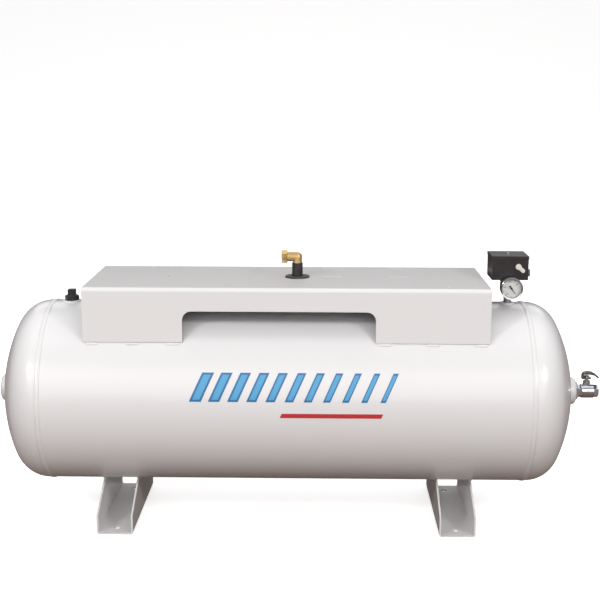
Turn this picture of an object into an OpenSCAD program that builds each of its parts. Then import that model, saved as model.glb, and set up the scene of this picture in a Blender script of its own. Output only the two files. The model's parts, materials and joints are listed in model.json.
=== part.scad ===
// Horizontal air receiver tank with its mounting platform, saddle feet and fittings.
// Millimetres. X runs along the tank, -Y is the front, +Z is up.
// The origin is on the floor, under the middle of the tank.

/* [Tank] */
// Outside diameter of the shell
tank_od = 508; // [430:1:620]
// Length from head tip to head tip
tank_len = 1604; // [1330:1:1950]
// Wall thickness of the shell and the heads
wall = 4.8; // [3:0.1:7]
// Straight flange of each head, up to its girth weld
head_flange = 12; // [6:1:40]
// Gap between the floor and the underside of the shell
ground_gap = 112; // [95:1:160]

/* [Feet] */
// Distance from the girth weld to the middle of the saddle foot
foot_inset = 190.6; // [130:0.1:260]
// Width of the foot channel, along the tank
foot_w = 100; // [80:1:130]
// Length of the foot channel, front to back
foot_len = 400; // [340:1:480]
// Height of the toe at each end of the foot
toe_h = 57; // [30:1:65]
// Width of the cradle where the foot meets the shell
cradle_w = 140; // [100:1:180]
// Diameter of the anchor holes
anchor_d = 17.5; // [12:0.5:22]
// Distance between the anchor holes of one foot, front to back
anchor_pitch = 316; // [270:1:330]

/* [Platform] */
// Distance from the girth weld to the end of the platform
platform_inset = 115.6; // [97:0.1:160]
// Outside width of the platform, front to back
platform_w = 372; // [340:1:390]
// Height of the platform's top face above the crown of the shell
platform_rise = 72; // [60:1:90]
// Thickness of the platform plate
plate_t = 4.8; // [3:0.1:7]
// Outside radius of the plate's bends
bend_r = 10; // [8:1:16]
// Depth of plate left above the skirt windows
window_drop = 63; // [50:1:75]
// Length of skirt left of the windows
window_left = 269; // [180:1:320]
// Length of skirt right of the windows
window_right = 307; // [180:1:320]
// Corner radius of the windows
window_r = 25; // [10:1:35]

/* [Machine mounts] */
// Pump bolt spacing along the tank
pump_pitch_x = 228; // [150:1:260]
// Pump bolt spacing front to back
pump_pitch_y = 152; // [100:1:160]
// Motor slot spacing along the tank
motor_pitch_x = 190.5; // [140:0.5:216]
// Motor slot spacing front to back
motor_pitch_y = 139.7; // [100:0.1:150]
// Length of each motor slot, end to end
slot_len = 60; // [30:1:70]
// Diameter of the machine bolt holes
bolt_hole_d = 11; // [9:0.5:13]

/* [Ports] */
// Distance from the girth weld to the service port
service_inset = 51.6; // [40:0.1:85]
// Distance from the girth weld to the control port
control_inset = 44.6; // [37:0.1:51]
// Inlet port, measured from the middle of the tank
inlet_x = 27; // [-60:1:60]
// Diameter of the discharge tube that the inlet takes
tube_d = 19.05; // [12:0.05:20]
// Diameter of the pressure gauge
gauge_d = 59; // [55:1:65]

/* [Hidden] */
$fn = 96;
tank_fn = 360;             // for the circles of the tank's own size

// Clearances
weld_gap = 0.2;    // between parts that are welded together
thread_gap = 0.1;  // radial, between a male and a female thread, both drawn plain
slip_gap = 0.05;   // radial, in a turning or sliding fit
cut = 1;           // how far a cutting shape passes the face that it cuts

// Pipe sizes, outside diameters
pipe_2_od = 60.3;
pipe_1_od = 33.4;
pipe_34_od = 26.7;
pipe_12_od = 21.3;
pipe_14_od = 13.7;
function male(od) = od - 2 * thread_gap;

// Tank
R = tank_od / 2;
ri = R - wall;
axis_h = ground_gap + R;
tank_top = axis_h + R;
crown_r = 0.9 * tank_od;    // the two arcs of a 2:1 head
knuckle_r = 0.17 * tank_od;
crown_drop = sqrt(pow(crown_r - knuckle_r, 2) - pow(R - knuckle_r, 2));
head_depth = crown_r - crown_drop;
knuckle_a = asin(crown_drop / (crown_r - knuckle_r));
shell_half = tank_len / 2 - head_depth - head_flange;
seam_w = 13;
seam_h = 2;
fillet = 6;

// Feet
foot_x = shell_half - foot_inset;
foot_t = 4.8;
foot_bend = 9;
cradle_z = axis_h - sqrt(R * R - pow(cradle_w / 2, 2));

// Platform
platform_half = shell_half - platform_inset;
platform_z = tank_top + platform_rise;
skirt_in = platform_w / 2 - plate_t;
skirt_z = axis_h + sqrt(R * R - skirt_in * skirt_in) + weld_gap;
window_z = platform_z - window_drop;
window_x0 = -platform_half + window_left;
window_x1 = platform_half - window_right;
pump_x = -221;
pump_y = 70;
motor_x = 221;
motor_y = 74;
guard_d = 9;
guard_y = platform_w / 2 - 22;
guard_x0 = -platform_half + 148;
guard_x1 = platform_half - 200;
starter_d = 9;
starter_pitch = 76;
starter_x = platform_half - 70;
starter_y = -platform_w / 2 + 38;
stitch_len = 42;
stitch_r = 6;

// Ports
port_rise = 3;             // a top coupling above the crown of the shell
port_z = tank_top + port_rise;
port_len = 30;
inch_od = 44.5;
control_od = 34;
head_port_od = 76;
head_port_rise = 17;
head_port_len = 38;
head_port_bevel = 4.5;
head_bead = 10;
head_port_x = tank_len / 2 + head_port_rise;
service_x = -(shell_half - service_inset);
control_x = shell_half - control_inset;

// Drain, a little behind the lowest line of the shell
drain_x = 0;
drain_y = 26.5;
drain_od = 22;
drain_rise = 2;
drain_z = axis_h - sqrt(R * R - drain_y * drain_y) - drain_rise;
drain_axis_z = drain_z - 9.5;
drain_key_y = drain_y + 37;

// Outlet ball valve, on the tank's axis
collar_len = 8;
valve_x0 = head_port_x + collar_len;
valve_ball_x = valve_x0 + 26;
valve_hex = 32;
valve_round_d = 40;
ball_r = 13;
water_d = 19;
cavity_d = 29;
cavity_half = 15;
seat_face = 8;
body_end_x = valve_x0 + 45;
valve_end_x = valve_x0 + 59;
outlet_depth = 13;
stem_d = 8;
packing_d = 14;
packing_z0 = 19;
boss_top = 25;
lever_z = 36;
lever_w = 16;
lever_t = 3;
lever_nut_h = 6;

// Check valve and inlet elbow, on the platform's hole
check_d = 30;
check_hex = 41;
check_hex_top = port_z + 14;
check_seat_z = platform_z - 2;
check_ledge_z = check_seat_z - 30;
check_top = platform_z + 41;
check_bore = 14;
check_chamber = 22;
check_disc_d = 18;
check_disc_t = 6;
elbow_d = 26;
elbow_z = check_top + 17;
elbow_end_x = inlet_x - 38;
tube_bore = tube_d + 0.15;
nut_hex = 32;
grommet_hole = 50;

// Control group: manifold, switch, gauge and safety valve
block = 30;
block_z = tank_top + 54;
block_top = block_z + block / 2;
block_bottom = block_z - block / 2;
port_depth = 8;             // threads from neighbouring faces stop short of each other
passage_d = 8;
switch_z = block_top + 3;
switch_w = 100;
switch_dpt = 98;
switch_y = 14;             // the box reaches further back than forward of its port
switch_front = switch_y - switch_dpt / 2;
switch_lip = 1;
switch_seam_z = switch_z + 26;
switch_step_z = switch_z + 58;
switch_top = switch_z + 67;
switch_wall = 2.5;
lever_px = control_x + 22;
lever_pz = switch_z + 38;
gland_z = switch_z + 13;
gland_hole = 20.2;

gauge_r = gauge_d / 2;
gauge_back = -44;
gauge_front = -72;
gauge_ratio = 6;
gear_m = 0.4;
gear_add = 0.8 * gear_m;
pinion_n = 12;
sector_n = pinion_n * gauge_ratio;
pinion_pr = gear_m * pinion_n / 2;
sector_pr = gear_m * sector_n / 2;
gear_centres = pinion_pr + sector_pr;
sector_dir = 225;          // direction from the arbor to the sector's pivot
pointer_rest = -54;        // the pointer's direction at no pressure, down and to the right
sector_px = control_x + gear_centres * cos(sector_dir);
sector_pz = block_z + gear_centres * sin(sector_dir);
sector_travel = 45;
sector_pin_d = 1.5;
arbor_d = 1.6;
tube_mid = 24;

relief_y = 84;
relief_z = block_z + 16;
relief_hex_top = relief_z + 10;
relief_barrel_top = relief_z + 38;
relief_cap_top = relief_barrel_top + 7;
relief_eye_z = relief_cap_top + 9;
relief_bore = 14;
relief_barrel_d = 19;
rod_d = 3;
relief_disc_z = relief_hex_top + 1 + slip_gap;
relief_disc_t = 3;
ring_r = 13;
ring_wire = 2;
ring_lean = 32;            // from straight down, where it rests against the barrel

// ---- shared shapes -------------------------------------------------------

// Turns children that are drawn along +Z to lie along the tank
module along_x() rotate([0, 90, 0]) children();
// Turns children that are drawn along +Z to point to the back
module along_y() rotate([-90, 0, 0]) children();
// Puts a flat drawing upright, x to the right and y up, its thickness towards the front
module facing_front() rotate([90, 0, 0]) children();

module ring(od, id, h) {
    difference() {
        cylinder(h = h, d = od);
        translate([0, 0, -cut]) cylinder(h = h + 2 * cut, d = id);
    }
}

// Hexagon whose corners are turned off at 30 degrees, at both ends
module hex(af, h) {
    corner = af / 2 / cos(30);
    face = af / 2 * 0.98;
    drop = (corner - face) * tan(30);
    intersection() {
        cylinder(h = h, r = corner, $fn = 6);
        rotate_extrude() polygon([[0, 0], [face, 0], [corner, drop], [corner, h - drop], [face, h], [0, h]]);
    }
}

// Hexagonal socket
module hex_hole(af, h) cylinder(h = h, d = af / cos(30), $fn = 6);

// Straight-sided shape with its two lower corners rounded
module rounded_bottom(w, h, r) {
    translate([-w / 2, r]) square([w, h - r]);
    translate([-w / 2 + r, 0]) square([w - 2 * r, h]);
    for (s = [-1, 1]) translate([s * (w / 2 - r), r]) circle(r);
}

module channel_section(w, h, t, r) {
    difference() {
        rounded_bottom(w, h, r);
        translate([0, t]) rounded_bottom(w - 2 * t, h, r - t);
    }
}

// Solid cylinder on the tank's axis
module on_axis(r, half) {
    translate([-half, 0, axis_h]) along_x() cylinder(h = 2 * half, r = r, $fn = tank_fn);
}

// Height of a head's crown at a radius, from its tip
function crown_z(r) = sqrt(crown_r * crown_r - r * r) - crown_r;

// Half outline of a head, inset from its outside; x is the radius, y runs outwards.
// The crown's arc meets the knuckle's on the line through both centres.
module head_outline(inset) {
    far = 2 * crown_r;
    translate([0, -head_flange - inset]) square([R - inset, head_flange + inset]);
    intersection() {
        translate([0, -crown_drop]) circle(crown_r - inset, $fn = tank_fn);
        polygon([[0, -crown_drop], [far * cos(knuckle_a), far * sin(knuckle_a) - crown_drop], [0, far]]);
        square(R);
    }
    intersection() {
        translate([R - knuckle_r, 0]) circle(knuckle_r - inset, $fn = tank_fn);
        square(R);
    }
}

// Open coil: wire of diameter w wound at mean radius r, from z = 0 to h
module coil(r, w, h, turns) {
    sides = 8;
    steps = turns * 16;
    rise = h - w;
    function at(i, j) = let (a = 360 * turns * i / steps, b = 360 * j / sides, q = r + w / 2 * cos(b))
        [q * cos(a), q * sin(a), w / 2 + rise * i / steps + w / 2 * sin(b)];
    points = [for (i = [0:steps]) for (j = [0:sides - 1]) at(i, j)];
    walls = [for (i = [0:steps - 1]) for (j = [0:sides - 1]) let (k = (j + 1) % sides)
        [i * sides + j, (i + 1) * sides + j, (i + 1) * sides + k, i * sides + k]];
    first = [for (j = [0:sides - 1]) j];
    last = [for (j = [sides - 1:-1:0]) steps * sides + j];
    polyhedron(points, concat([first, last], walls));
}

// The gaps between the teeth of a flat gear, the first at angle0 and the rest a step apart
module gear_gaps(pr, count, step, angle0) {
    low = -1.15 * gear_m;
    high = 1.5 * gear_m;
    half = 0.3 * PI * gear_m;
    slope = tan(20);
    for (k = [0:count - 1]) rotate(angle0 + k * step)
        polygon([[pr + low, half + low * slope], [pr + low, -half - low * slope],
                 [pr + high, -half - high * slope], [pr + high, half + high * slope]]);
}

// ---- vessel --------------------------------------------------------------

module top_hole(x, od) {
    translate([x, 0, axis_h]) cylinder(h = R + port_rise + cut, d = od + 2 * weld_gap);
}

module tank_shell() {
    color("whitesmoke") difference() {
        on_axis(R, shell_half);
        on_axis(ri, shell_half + cut);
        top_hole(service_x, inch_od);
        top_hole(inlet_x, inch_od);
        top_hole(control_x, control_od);
        translate([drain_x, drain_y, axis_h - R - cut]) cylinder(h = R, d = drain_od + 2 * weld_gap);
    }
}

module head_right() {
    color("whitesmoke") translate([tank_len / 2 - head_depth, 0, axis_h]) along_x() difference() {
        rotate_extrude($fn = tank_fn) difference() {
            head_outline(0);
            head_outline(wall);
        }
        cylinder(h = head_depth + cut, d = head_port_od + 2 * weld_gap);
    }
}

module head_left() mirror([1, 0, 0]) head_right();

module seam_bead() {
    // the cap of a circle that stands seam_h proud and is seam_w wide
    r = (pow(seam_w / 2, 2) + seam_h * seam_h) / (2 * seam_h);
    difference() {
        translate([R + seam_h - r, 0]) circle(r);
        translate([R - 2 * r, -r - cut]) square([2 * r, 2 * r + 2 * cut]);
    }
}

module seam_welds() {
    color("gainsboro") {
        for (s = [-1, 1]) translate([s * shell_half, 0, axis_h]) along_x()
            rotate_extrude($fn = tank_fn) seam_bead();
        // the long seam lies on the back of the shell, 35 degrees below its middle
        translate([0, 0, axis_h]) rotate([-35, 0, 0]) translate([0, R, 0]) difference() {
            translate([-shell_half + seam_w, -4, 0]) along_x()
                cylinder(h = 2 * (shell_half - seam_w), r = 6);
            translate([-shell_half, -R, 0]) along_x() cylinder(h = 2 * shell_half, r = R, $fn = tank_fn);
        }
    }
}

// ---- feet ----------------------------------------------------------------

module foot_side() {
    difference() {
        polygon([[-foot_len / 2, 0], [foot_len / 2, 0], [foot_len / 2, toe_h], [cradle_w / 2, cradle_z],
                 [-cradle_w / 2, cradle_z], [-foot_len / 2, toe_h]]);
        translate([0, axis_h]) circle(R + weld_gap, $fn = tank_fn);
    }
}

module foot(x) {
    color("gainsboro") translate([x, 0, 0]) difference() {
        intersection() {
            rotate([90, 0, 0]) linear_extrude(height = foot_len + 2 * cut, center = true)
                channel_section(foot_w, cradle_z + cut, foot_t, foot_bend);
            rotate([90, 0, 90]) linear_extrude(height = foot_w + 2 * cut, center = true) foot_side();
        }
        for (s = [-1, 1]) translate([0, s * anchor_pitch / 2, -cut])
            cylinder(h = foot_t + 2 * cut, d = anchor_d);
    }
}

module foot_left() foot(-foot_x);
module foot_right() foot(foot_x);

// ---- platform ------------------------------------------------------------

module slot(x, y, d, len) {
    translate([x, y, platform_z - plate_t - cut]) {
        for (s = [-1, 1]) translate([s * (len - d) / 2, 0, 0]) cylinder(h = plate_t + 2 * cut, d = d);
        translate([-(len - d) / 2, -d / 2, 0]) cube([len - d, d, plate_t + 2 * cut]);
    }
}

module plate_hole(x, y, d) {
    translate([x, y, platform_z - plate_t - cut]) cylinder(h = plate_t + 2 * cut, d = d);
}

module skirt_windows() {
    w = window_x1 - window_x0;
    h = window_z - skirt_z + cut;
    translate([(window_x0 + window_x1) / 2, 0, window_z]) rotate([90, 0, 0])
        linear_extrude(height = platform_w + 2 * cut, center = true)
            mirror([0, 1]) rounded_bottom(w, h, window_r);
}

module mounting_platform() {
    h = platform_z - skirt_z;
    color("whitesmoke") difference() {
        translate([0, 0, platform_z]) rotate([90, 0, 90])
            linear_extrude(height = 2 * platform_half, center = true)
                mirror([0, 1]) channel_section(platform_w, h, plate_t, bend_r);
        skirt_windows();
        plate_hole(inlet_x, 0, grommet_hole);
        for (sx = [-1, 1], sy = [-1, 1]) {
            plate_hole(pump_x + sx * pump_pitch_x / 2, pump_y + sy * pump_pitch_y / 2, bolt_hole_d);
            slot(motor_x + sx * motor_pitch_x / 2, motor_y + sy * motor_pitch_y / 2, bolt_hole_d, slot_len);
        }
        for (x = [guard_x0, guard_x1]) plate_hole(x, guard_y, guard_d);
        for (s = [-1, 1]) plate_hole(starter_x + s * starter_pitch / 2, starter_y, starter_d);
    }
}

// ---- fillet welds --------------------------------------------------------

module stitch(x, side) {
    difference() {
        translate([x - stitch_len / 2, side * (platform_w / 2 + 1), skirt_z - 2]) along_x()
            cylinder(h = stitch_len, r = stitch_r);
        on_axis(R + weld_gap, shell_half);
        translate([x - stitch_len, side > 0 ? skirt_in - 40 : -platform_w / 2 - weld_gap, skirt_z - weld_gap])
            cube([2 * stitch_len, 40 + plate_t + weld_gap, 40]);
    }
}

// The bead along one flange of a foot, on its outer face
module cradle_bead(x, side) {
    a = asin(cradle_w / 2 / R) - 1;
    translate([x + side * (foot_w / 2 + weld_gap), 0, axis_h]) mirror([side > 0 ? 0 : 1, 0, 0])
        along_x() rotate([0, 0, -a]) rotate_extrude(angle = 2 * a, $fn = tank_fn)
            polygon([[R + weld_gap, 0], [R + fillet, 0], [R + weld_gap, fillet]]);
}

module port_bead(od) {
    difference() {
        translate([0, 0, R - fillet])
            cylinder(h = fillet + port_rise - 0.5, d1 = od + 4 * fillet, d2 = od + 1);
        translate([0, 0, R - 2 * fillet]) cylinder(h = 4 * fillet, d = od + 2 * weld_gap);
        translate([-shell_half, 0, 0]) along_x()
            cylinder(h = 2 * shell_half, r = R + weld_gap, $fn = tank_fn);
    }
}

// The bead round a head's port, on the crown, drawn from the head's tip
module head_port_bead() {
    inner = head_port_od / 2 + weld_gap;
    outer = head_port_od / 2 + head_bead;
    rotate_extrude() polygon([
        [inner, crown_z(inner) + weld_gap], [outer, crown_z(outer) + weld_gap], [inner, fillet]
    ]);
}

module fillet_welds() {
    color("gainsboro") {
        for (side = [-1, 1], x = [-platform_half + 24, window_x0 - 24, (window_x0 - platform_half) / 2,
                                  window_x1 + 24, (window_x1 + platform_half) / 2, platform_half - 24])
            stitch(x, side);
        for (x = [-foot_x, foot_x], side = [-1, 1]) cradle_bead(x, side);
        translate([service_x, 0, axis_h]) port_bead(inch_od);
        translate([inlet_x, 0, axis_h]) port_bead(inch_od);
        translate([control_x, 0, axis_h]) port_bead(control_od);
        for (s = [0, 1]) mirror([s, 0, 0]) translate([tank_len / 2, 0, axis_h]) along_x() head_port_bead();
    }
}

// ---- couplings -----------------------------------------------------------

module top_coupling(x, od, bore) {
    translate([x, 0, port_z - port_len]) ring(od, bore, port_len);
}

module head_couplings() {
    color("whitesmoke") for (s = [0, 1]) mirror([s, 0, 0])
        translate([head_port_x - head_port_len, 0, axis_h]) along_x()
            rotate_extrude() polygon([
                [pipe_2_od / 2, 0], [head_port_od / 2, 0], [head_port_od / 2, head_port_len - head_port_bevel],
                [head_port_od / 2 - head_port_bevel, head_port_len], [pipe_2_od / 2, head_port_len]
            ]);
}

module inch_couplings() {
    color("whitesmoke") {
        top_coupling(service_x, inch_od, pipe_1_od);
        top_coupling(inlet_x, inch_od, pipe_1_od);
    }
}

module control_coupling() color("whitesmoke") top_coupling(control_x, control_od, pipe_12_od);

module drain_coupling() {
    color("whitesmoke") translate([drain_x, drain_y, drain_z]) ring(drain_od, pipe_14_od, 20);
}

// ---- inspection and service plugs ----------------------------------------

module inspection_plug() {
    len = 22;
    socket = 19;
    color("gainsboro") translate([-head_port_x + 2, 0, axis_h]) along_x() difference() {
        cylinder(h = len, d = male(pipe_2_od));
        translate([0, 0, -cut]) hex_hole(socket, 12 + cut);
    }
}

service_bush_h = 14;

module service_bushing() {
    color("black") translate([service_x, 0, port_z]) difference() {
        union() {
            hex(35, service_bush_h);
            translate([0, 0, -16]) cylinder(h = 16, d = male(pipe_1_od));
        }
        translate([0, 0, -16 - cut]) cylinder(h = 16 + service_bush_h + 2 * cut, d = pipe_34_od);
    }
}

module service_plug() {
    square_w = 20.6;
    color("black") translate([service_x, 0, port_z + service_bush_h]) {
        translate([0, 0, -14]) cylinder(h = 16, d = male(pipe_34_od));
        translate([-square_w / 2, -square_w / 2, 2]) cube([square_w, square_w, 15]);
    }
}

// ---- outlet ball valve ---------------------------------------------------

module outlet_bushing() {
    thread = 24;
    color("gainsboro") translate([head_port_x, 0, axis_h]) along_x() difference() {
        union() {
            translate([0, 0, -thread]) cylinder(h = thread, d = male(pipe_2_od));
            hex(46, collar_len);
        }
        translate([0, 0, -thread - cut]) cylinder(h = thread + collar_len + 2 * cut, d = pipe_34_od);
    }
}

module valve_frame() translate([valve_ball_x, 0, axis_h]) children();

module valve_body() {
    x0 = valve_x0 - valve_ball_x;
    x1 = body_end_x - valve_ball_x;
    thread = 22;
    color("silver") valve_frame() difference() {
        union() {
            translate([x0 - thread, 0, 0]) along_x() cylinder(h = thread, d = male(pipe_34_od));
            translate([x0, 0, 0]) along_x() hex(valve_hex, -cavity_half - x0 + 1);
            translate([-cavity_half, 0, 0]) along_x() cylinder(h = x1 + cavity_half, d = valve_round_d);
            translate([0, 0, cavity_d / 2]) cylinder(h = boss_top - cavity_d / 2, d = 20);
        }
        translate([x0 - thread - cut, 0, 0]) along_x() cylinder(h = 60, d = water_d);
        translate([-cavity_half, 0, 0]) along_x() cylinder(h = x1 + cavity_half + cut, d = cavity_d);
        cylinder(h = boss_top + cut, d = stem_d + 2 * slip_gap);
        translate([0, 0, packing_z0]) cylinder(h = boss_top, d = packing_d);
    }
}

module valve_end_piece() {
    x0 = cavity_half;
    x1 = body_end_x - valve_ball_x;
    x2 = valve_end_x - valve_ball_x;
    color("silver") valve_frame() difference() {
        union() {
            translate([x0, 0, 0]) along_x() cylinder(h = x1 - x0, d = male(cavity_d));
            translate([x1, 0, 0]) along_x() hex(valve_hex, x2 - x1);
        }
        translate([x0 - cut, 0, 0]) along_x() cylinder(h = 40, d = water_d);
        translate([x2 - outlet_depth, 0, 0]) along_x() cylinder(h = outlet_depth + cut, d = pipe_34_od);
    }
}

module valve_seats() {
    color("white") valve_frame() for (s = [0, 1]) mirror([s, 0, 0]) along_x() rotate_extrude() difference() {
        translate([water_d / 2, seat_face])
            square([(cavity_d - water_d) / 2 - slip_gap, cavity_half - seat_face - slip_gap]);
        circle(ball_r + slip_gap);
    }
}

module valve_ball() {
    color("silver") valve_frame() difference() {
        sphere(ball_r);
        translate([-20, 0, 0]) along_x() cylinder(h = 40, d = water_d);
        translate([-10, -2, water_d / 2 + 0.2]) cube([20, 4, 10]);
    }
}

module valve_stem() {
    tang_z = water_d / 2 + 0.4;
    color("silver") valve_frame() {
        translate([0, 0, ball_r + 0.3])
            cylinder(h = lever_z + lever_t + lever_nut_h + 0.2 - ball_r, d = stem_d);
        translate([-4, -1.8, tang_z]) intersection() {
            cube([8, 3.6, ball_r - tang_z + 2]);
            translate([4, 1.8, 0]) cylinder(h = 10, d = stem_d);
        }
    }
}

module valve_packing() {
    color("white") valve_frame() translate([0, 0, packing_z0])
        ring(male(packing_d), stem_d + 2 * slip_gap, 4);
}

module valve_gland_nut() {
    color("silver") valve_frame() difference() {
        union() {
            translate([0, 0, boss_top]) hex(17, 6);
            translate([0, 0, packing_z0 + 4]) cylinder(h = boss_top - packing_z0 - 4, d = male(packing_d));
        }
        cylinder(h = 60, d = stem_d + 2 * slip_gap);
    }
}

// A hooked strap: a flat tongue on the stem, then an arch over the nut to the grip
module valve_lever() {
    arch = lever_t + lever_nut_h + 4;
    color("dimgray") valve_frame() translate([0, 0, lever_z]) difference() {
        facing_front() linear_extrude(height = lever_w, center = true) polygon([
            [-14, 0], [12, 0], [12, lever_t], [-8.6, lever_t], [-8.6, arch], [9, arch], [21, arch - 3],
            [31, 1.5], [34.5, 5], [25, 13], [13, arch + 7], [-2, arch + 8], [-10, arch + 5], [-14, arch - 2]
        ]);
        translate([0, 0, -cut]) cylinder(h = lever_t + 2 * cut, d = stem_d + 2 * slip_gap);
    }
}

module valve_lever_nut() {
    color("silver") valve_frame() translate([0, 0, lever_z + lever_t]) difference() {
        hex(13, lever_nut_h);
        translate([0, 0, -cut]) cylinder(h = lever_nut_h + 2 * cut, d = stem_d + 2 * slip_gap);
    }
}

// ---- check valve and inlet -----------------------------------------------

module check_frame() translate([inlet_x, 0, 0]) children();

module check_valve_body() {
    foot_z = port_z - 24;
    upper_port = 18;
    color("black") check_frame() difference() {
        union() {
            translate([0, 0, foot_z]) cylinder(h = 24, d = male(pipe_1_od));
            translate([0, 0, port_z]) hex(check_hex, check_hex_top - port_z);
            translate([0, 0, check_hex_top]) cylinder(h = check_top - check_hex_top, d = check_d);
        }
        translate([0, 0, foot_z - cut]) cylinder(h = check_top - foot_z, d = check_bore);
        translate([0, 0, check_ledge_z]) cylinder(h = check_seat_z - check_ledge_z, d = check_chamber);
        translate([0, 0, check_top - upper_port]) cylinder(h = upper_port + cut, d = pipe_12_od);
    }
}

module check_valve_disc() {
    color("brown") check_frame() translate([0, 0, check_seat_z - check_disc_t - slip_gap])
        cylinder(h = check_disc_t, d = check_disc_d);
}

module check_valve_spring() {
    h = check_seat_z - check_disc_t - slip_gap - check_ledge_z;
    color("silver") check_frame() translate([0, 0, check_ledge_z + slip_gap])
        coil(8.2, 1.6, h - 2 * slip_gap, 5);
}

module inlet_elbow() {
    neck = 16;
    color("gold") check_frame() difference() {
        union() {
            translate([0, 0, check_top - neck]) cylinder(h = neck, d = male(pipe_12_od));
            translate([0, 0, check_top]) cylinder(h = elbow_z - check_top, d = elbow_d);
            translate([0, 0, elbow_z]) sphere(d = elbow_d);
            translate([elbow_end_x - inlet_x, 0, elbow_z]) along_x()
                cylinder(h = inlet_x - elbow_end_x, d = elbow_d);
        }
        translate([0, 0, check_top - neck - cut])
            cylinder(h = neck + elbow_z - check_top + cut, d = check_bore);
        translate([elbow_end_x - inlet_x - cut, 0, elbow_z]) along_x()
            cylinder(h = inlet_x - elbow_end_x + cut, d = check_bore);
        translate([elbow_end_x - inlet_x - cut, 0, elbow_z]) along_x() cylinder(h = 11 + cut, d = tube_bore);
    }
}

module inlet_ferrule() {
    color("gold") translate([elbow_end_x - 2.9, 0, elbow_z]) along_x() ring(elbow_d - 1, tube_bore, 2.8);
}

module inlet_nut() {
    color("gold") translate([elbow_end_x - 6, 0, elbow_z]) along_x() difference() {
        hex(nut_hex, 16);
        translate([0, 0, -cut]) cylinder(h = 20, d = tube_bore);
        translate([0, 0, 3]) cylinder(h = 20, d = elbow_d + 2 * thread_gap);
    }
}

module platform_grommet() {
    bore = check_d / 2 + 0.3;
    neck = grommet_hole / 2 - 0.2;
    color("dimgray") translate([inlet_x, 0, platform_z]) rotate_extrude()
        polygon([[bore, -plate_t - 4], [neck + 4, -plate_t - 4], [neck + 4, -plate_t], [neck, -plate_t],
                 [neck, 0], [neck + 10, 0], [neck + 8, 4], [bore, 4]]);
}

// ---- control manifold ----------------------------------------------------

module control_frame() translate([control_x, 0, 0]) children();

module control_nipple() {
    z0 = port_z - 22;
    color("dimgray") control_frame() translate([0, 0, z0])
        ring(male(pipe_12_od), 15, block_bottom + port_depth - z0 - 1);
}

module control_manifold() {
    color("gold") control_frame() translate([0, 0, block_z]) difference() {
        intersection() {
            cube(block, center = true);
            sphere(r = block * 0.78);
        }
        translate([0, 0, -block]) cylinder(h = 2 * block, d = passage_d);
        translate([0, 0, -block / 2 - cut]) cylinder(h = port_depth + cut, d = pipe_12_od);
        translate([0, 0, block / 2 - port_depth]) cylinder(h = port_depth + cut, d = pipe_14_od);
        translate([0, -block, 0]) along_y() cylinder(h = 2 * block, d = passage_d);
        translate([-block, 0, 0]) along_x() cylinder(h = 2 * block, d = passage_d);
        for (a = [0:90:270]) rotate([0, 0, a]) translate([block / 2 - port_depth, 0, 0]) along_x()
            cylinder(h = port_depth + cut, d = pipe_14_od);
    }
}

module manifold_plugs() {
    color("gold") control_frame() for (s = [0, 1]) mirror([s, 0, 0])
        translate([block / 2, 0, block_z]) along_x() {
            translate([0, 0, -port_depth + 1]) cylinder(h = port_depth - 1, d = male(pipe_14_od));
            hex(14, 6);
        }
}

// ---- pressure switch -----------------------------------------------------

// Open-topped or open-bottomed box with a wall all round
module shell_box(w, d, z0, z1, t, floor_t) {
    difference() {
        translate([-w / 2, -d / 2, z0]) cube([w, d, z1 - z0]);
        translate([-w / 2 + t, -d / 2 + t, z0 + floor_t]) cube([w - 2 * t, d - 2 * t, z1 - z0]);
    }
}

boss_d = 40;
boss_z = switch_z + 12;
chamber_z = switch_z + 7;

module switch_base() {
    color("dimgray") control_frame() difference() {
        union() {
            translate([0, switch_y, 0])
                shell_box(switch_w, switch_dpt, switch_z, switch_seam_z, switch_wall, 4);
            translate([0, 0, switch_z]) cylinder(h = boss_z - switch_z, d = boss_d);
            translate([0, 0, block_top + 0.5]) cylinder(h = switch_z - block_top, d = 20);
            translate([0, 0, block_top - port_depth + 1]) cylinder(h = port_depth + 2, d = male(pipe_14_od));
        }
        translate([0, 0, block_top - port_depth]) cylinder(h = 60, d = 6);
        translate([0, 0, chamber_z]) cylinder(h = 20, d = 34);
        translate([switch_w / 2 - 10, switch_y, gland_z]) along_x() cylinder(h = 20, d = gland_hole);
    }
}

module switch_diaphragm() {
    color("black") control_frame() translate([0, 0, chamber_z + 2]) cylinder(h = 2, d = 33.8);
}

module switch_spring() {
    color("silver") control_frame() translate([0, 0, chamber_z + 4 + slip_gap]) coil(9, 2, 32, 5);
}

module switch_contact_block() {
    room = 6;
    depth = 34;
    color("tan") control_frame()
        translate([room - switch_w / 2, switch_y + switch_dpt / 2 - depth - room, switch_z + 4])
            cube([switch_w - 20, depth, 40]);
}

module switch_cover() {
    lip = switch_lip;
    color("black") control_frame() translate([0, switch_y, 0]) difference() {
        union() {
            translate([-switch_w / 2, -switch_dpt / 2, switch_seam_z])
                cube([switch_w, switch_dpt, switch_top - switch_seam_z]);
            translate([-switch_w / 2 - lip, -switch_dpt / 2 - lip, switch_step_z])
                cube([switch_w + 2 * lip, switch_dpt + 2 * lip, switch_top - switch_step_z]);
        }
        translate([-switch_w / 2 + switch_wall, -switch_dpt / 2 + switch_wall, switch_seam_z - cut])
            cube([switch_w - 2 * switch_wall, switch_dpt - 2 * switch_wall,
                  switch_top - switch_wall - switch_seam_z + cut]);
        // screw hole in the top and the lever's pivot in the front
        translate([0, 0, switch_top - 10]) cylinder(h = 20, d = 5);
        translate([lever_px - control_x, -switch_dpt / 2 - cut, lever_pz]) along_y()
            cylinder(h = switch_wall + 2 * cut, d = 5);
    }
}

module switch_cover_screw() {
    color("silver") control_frame() translate([0, switch_y, switch_top]) difference() {
        union() {
            cylinder(h = 3, d = 10);
            translate([0, 0, -9]) cylinder(h = 9, d = 4.8);
        }
        translate([-6, -0.6, 1.6]) cube([12, 1.2, 5]);
    }
}

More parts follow.
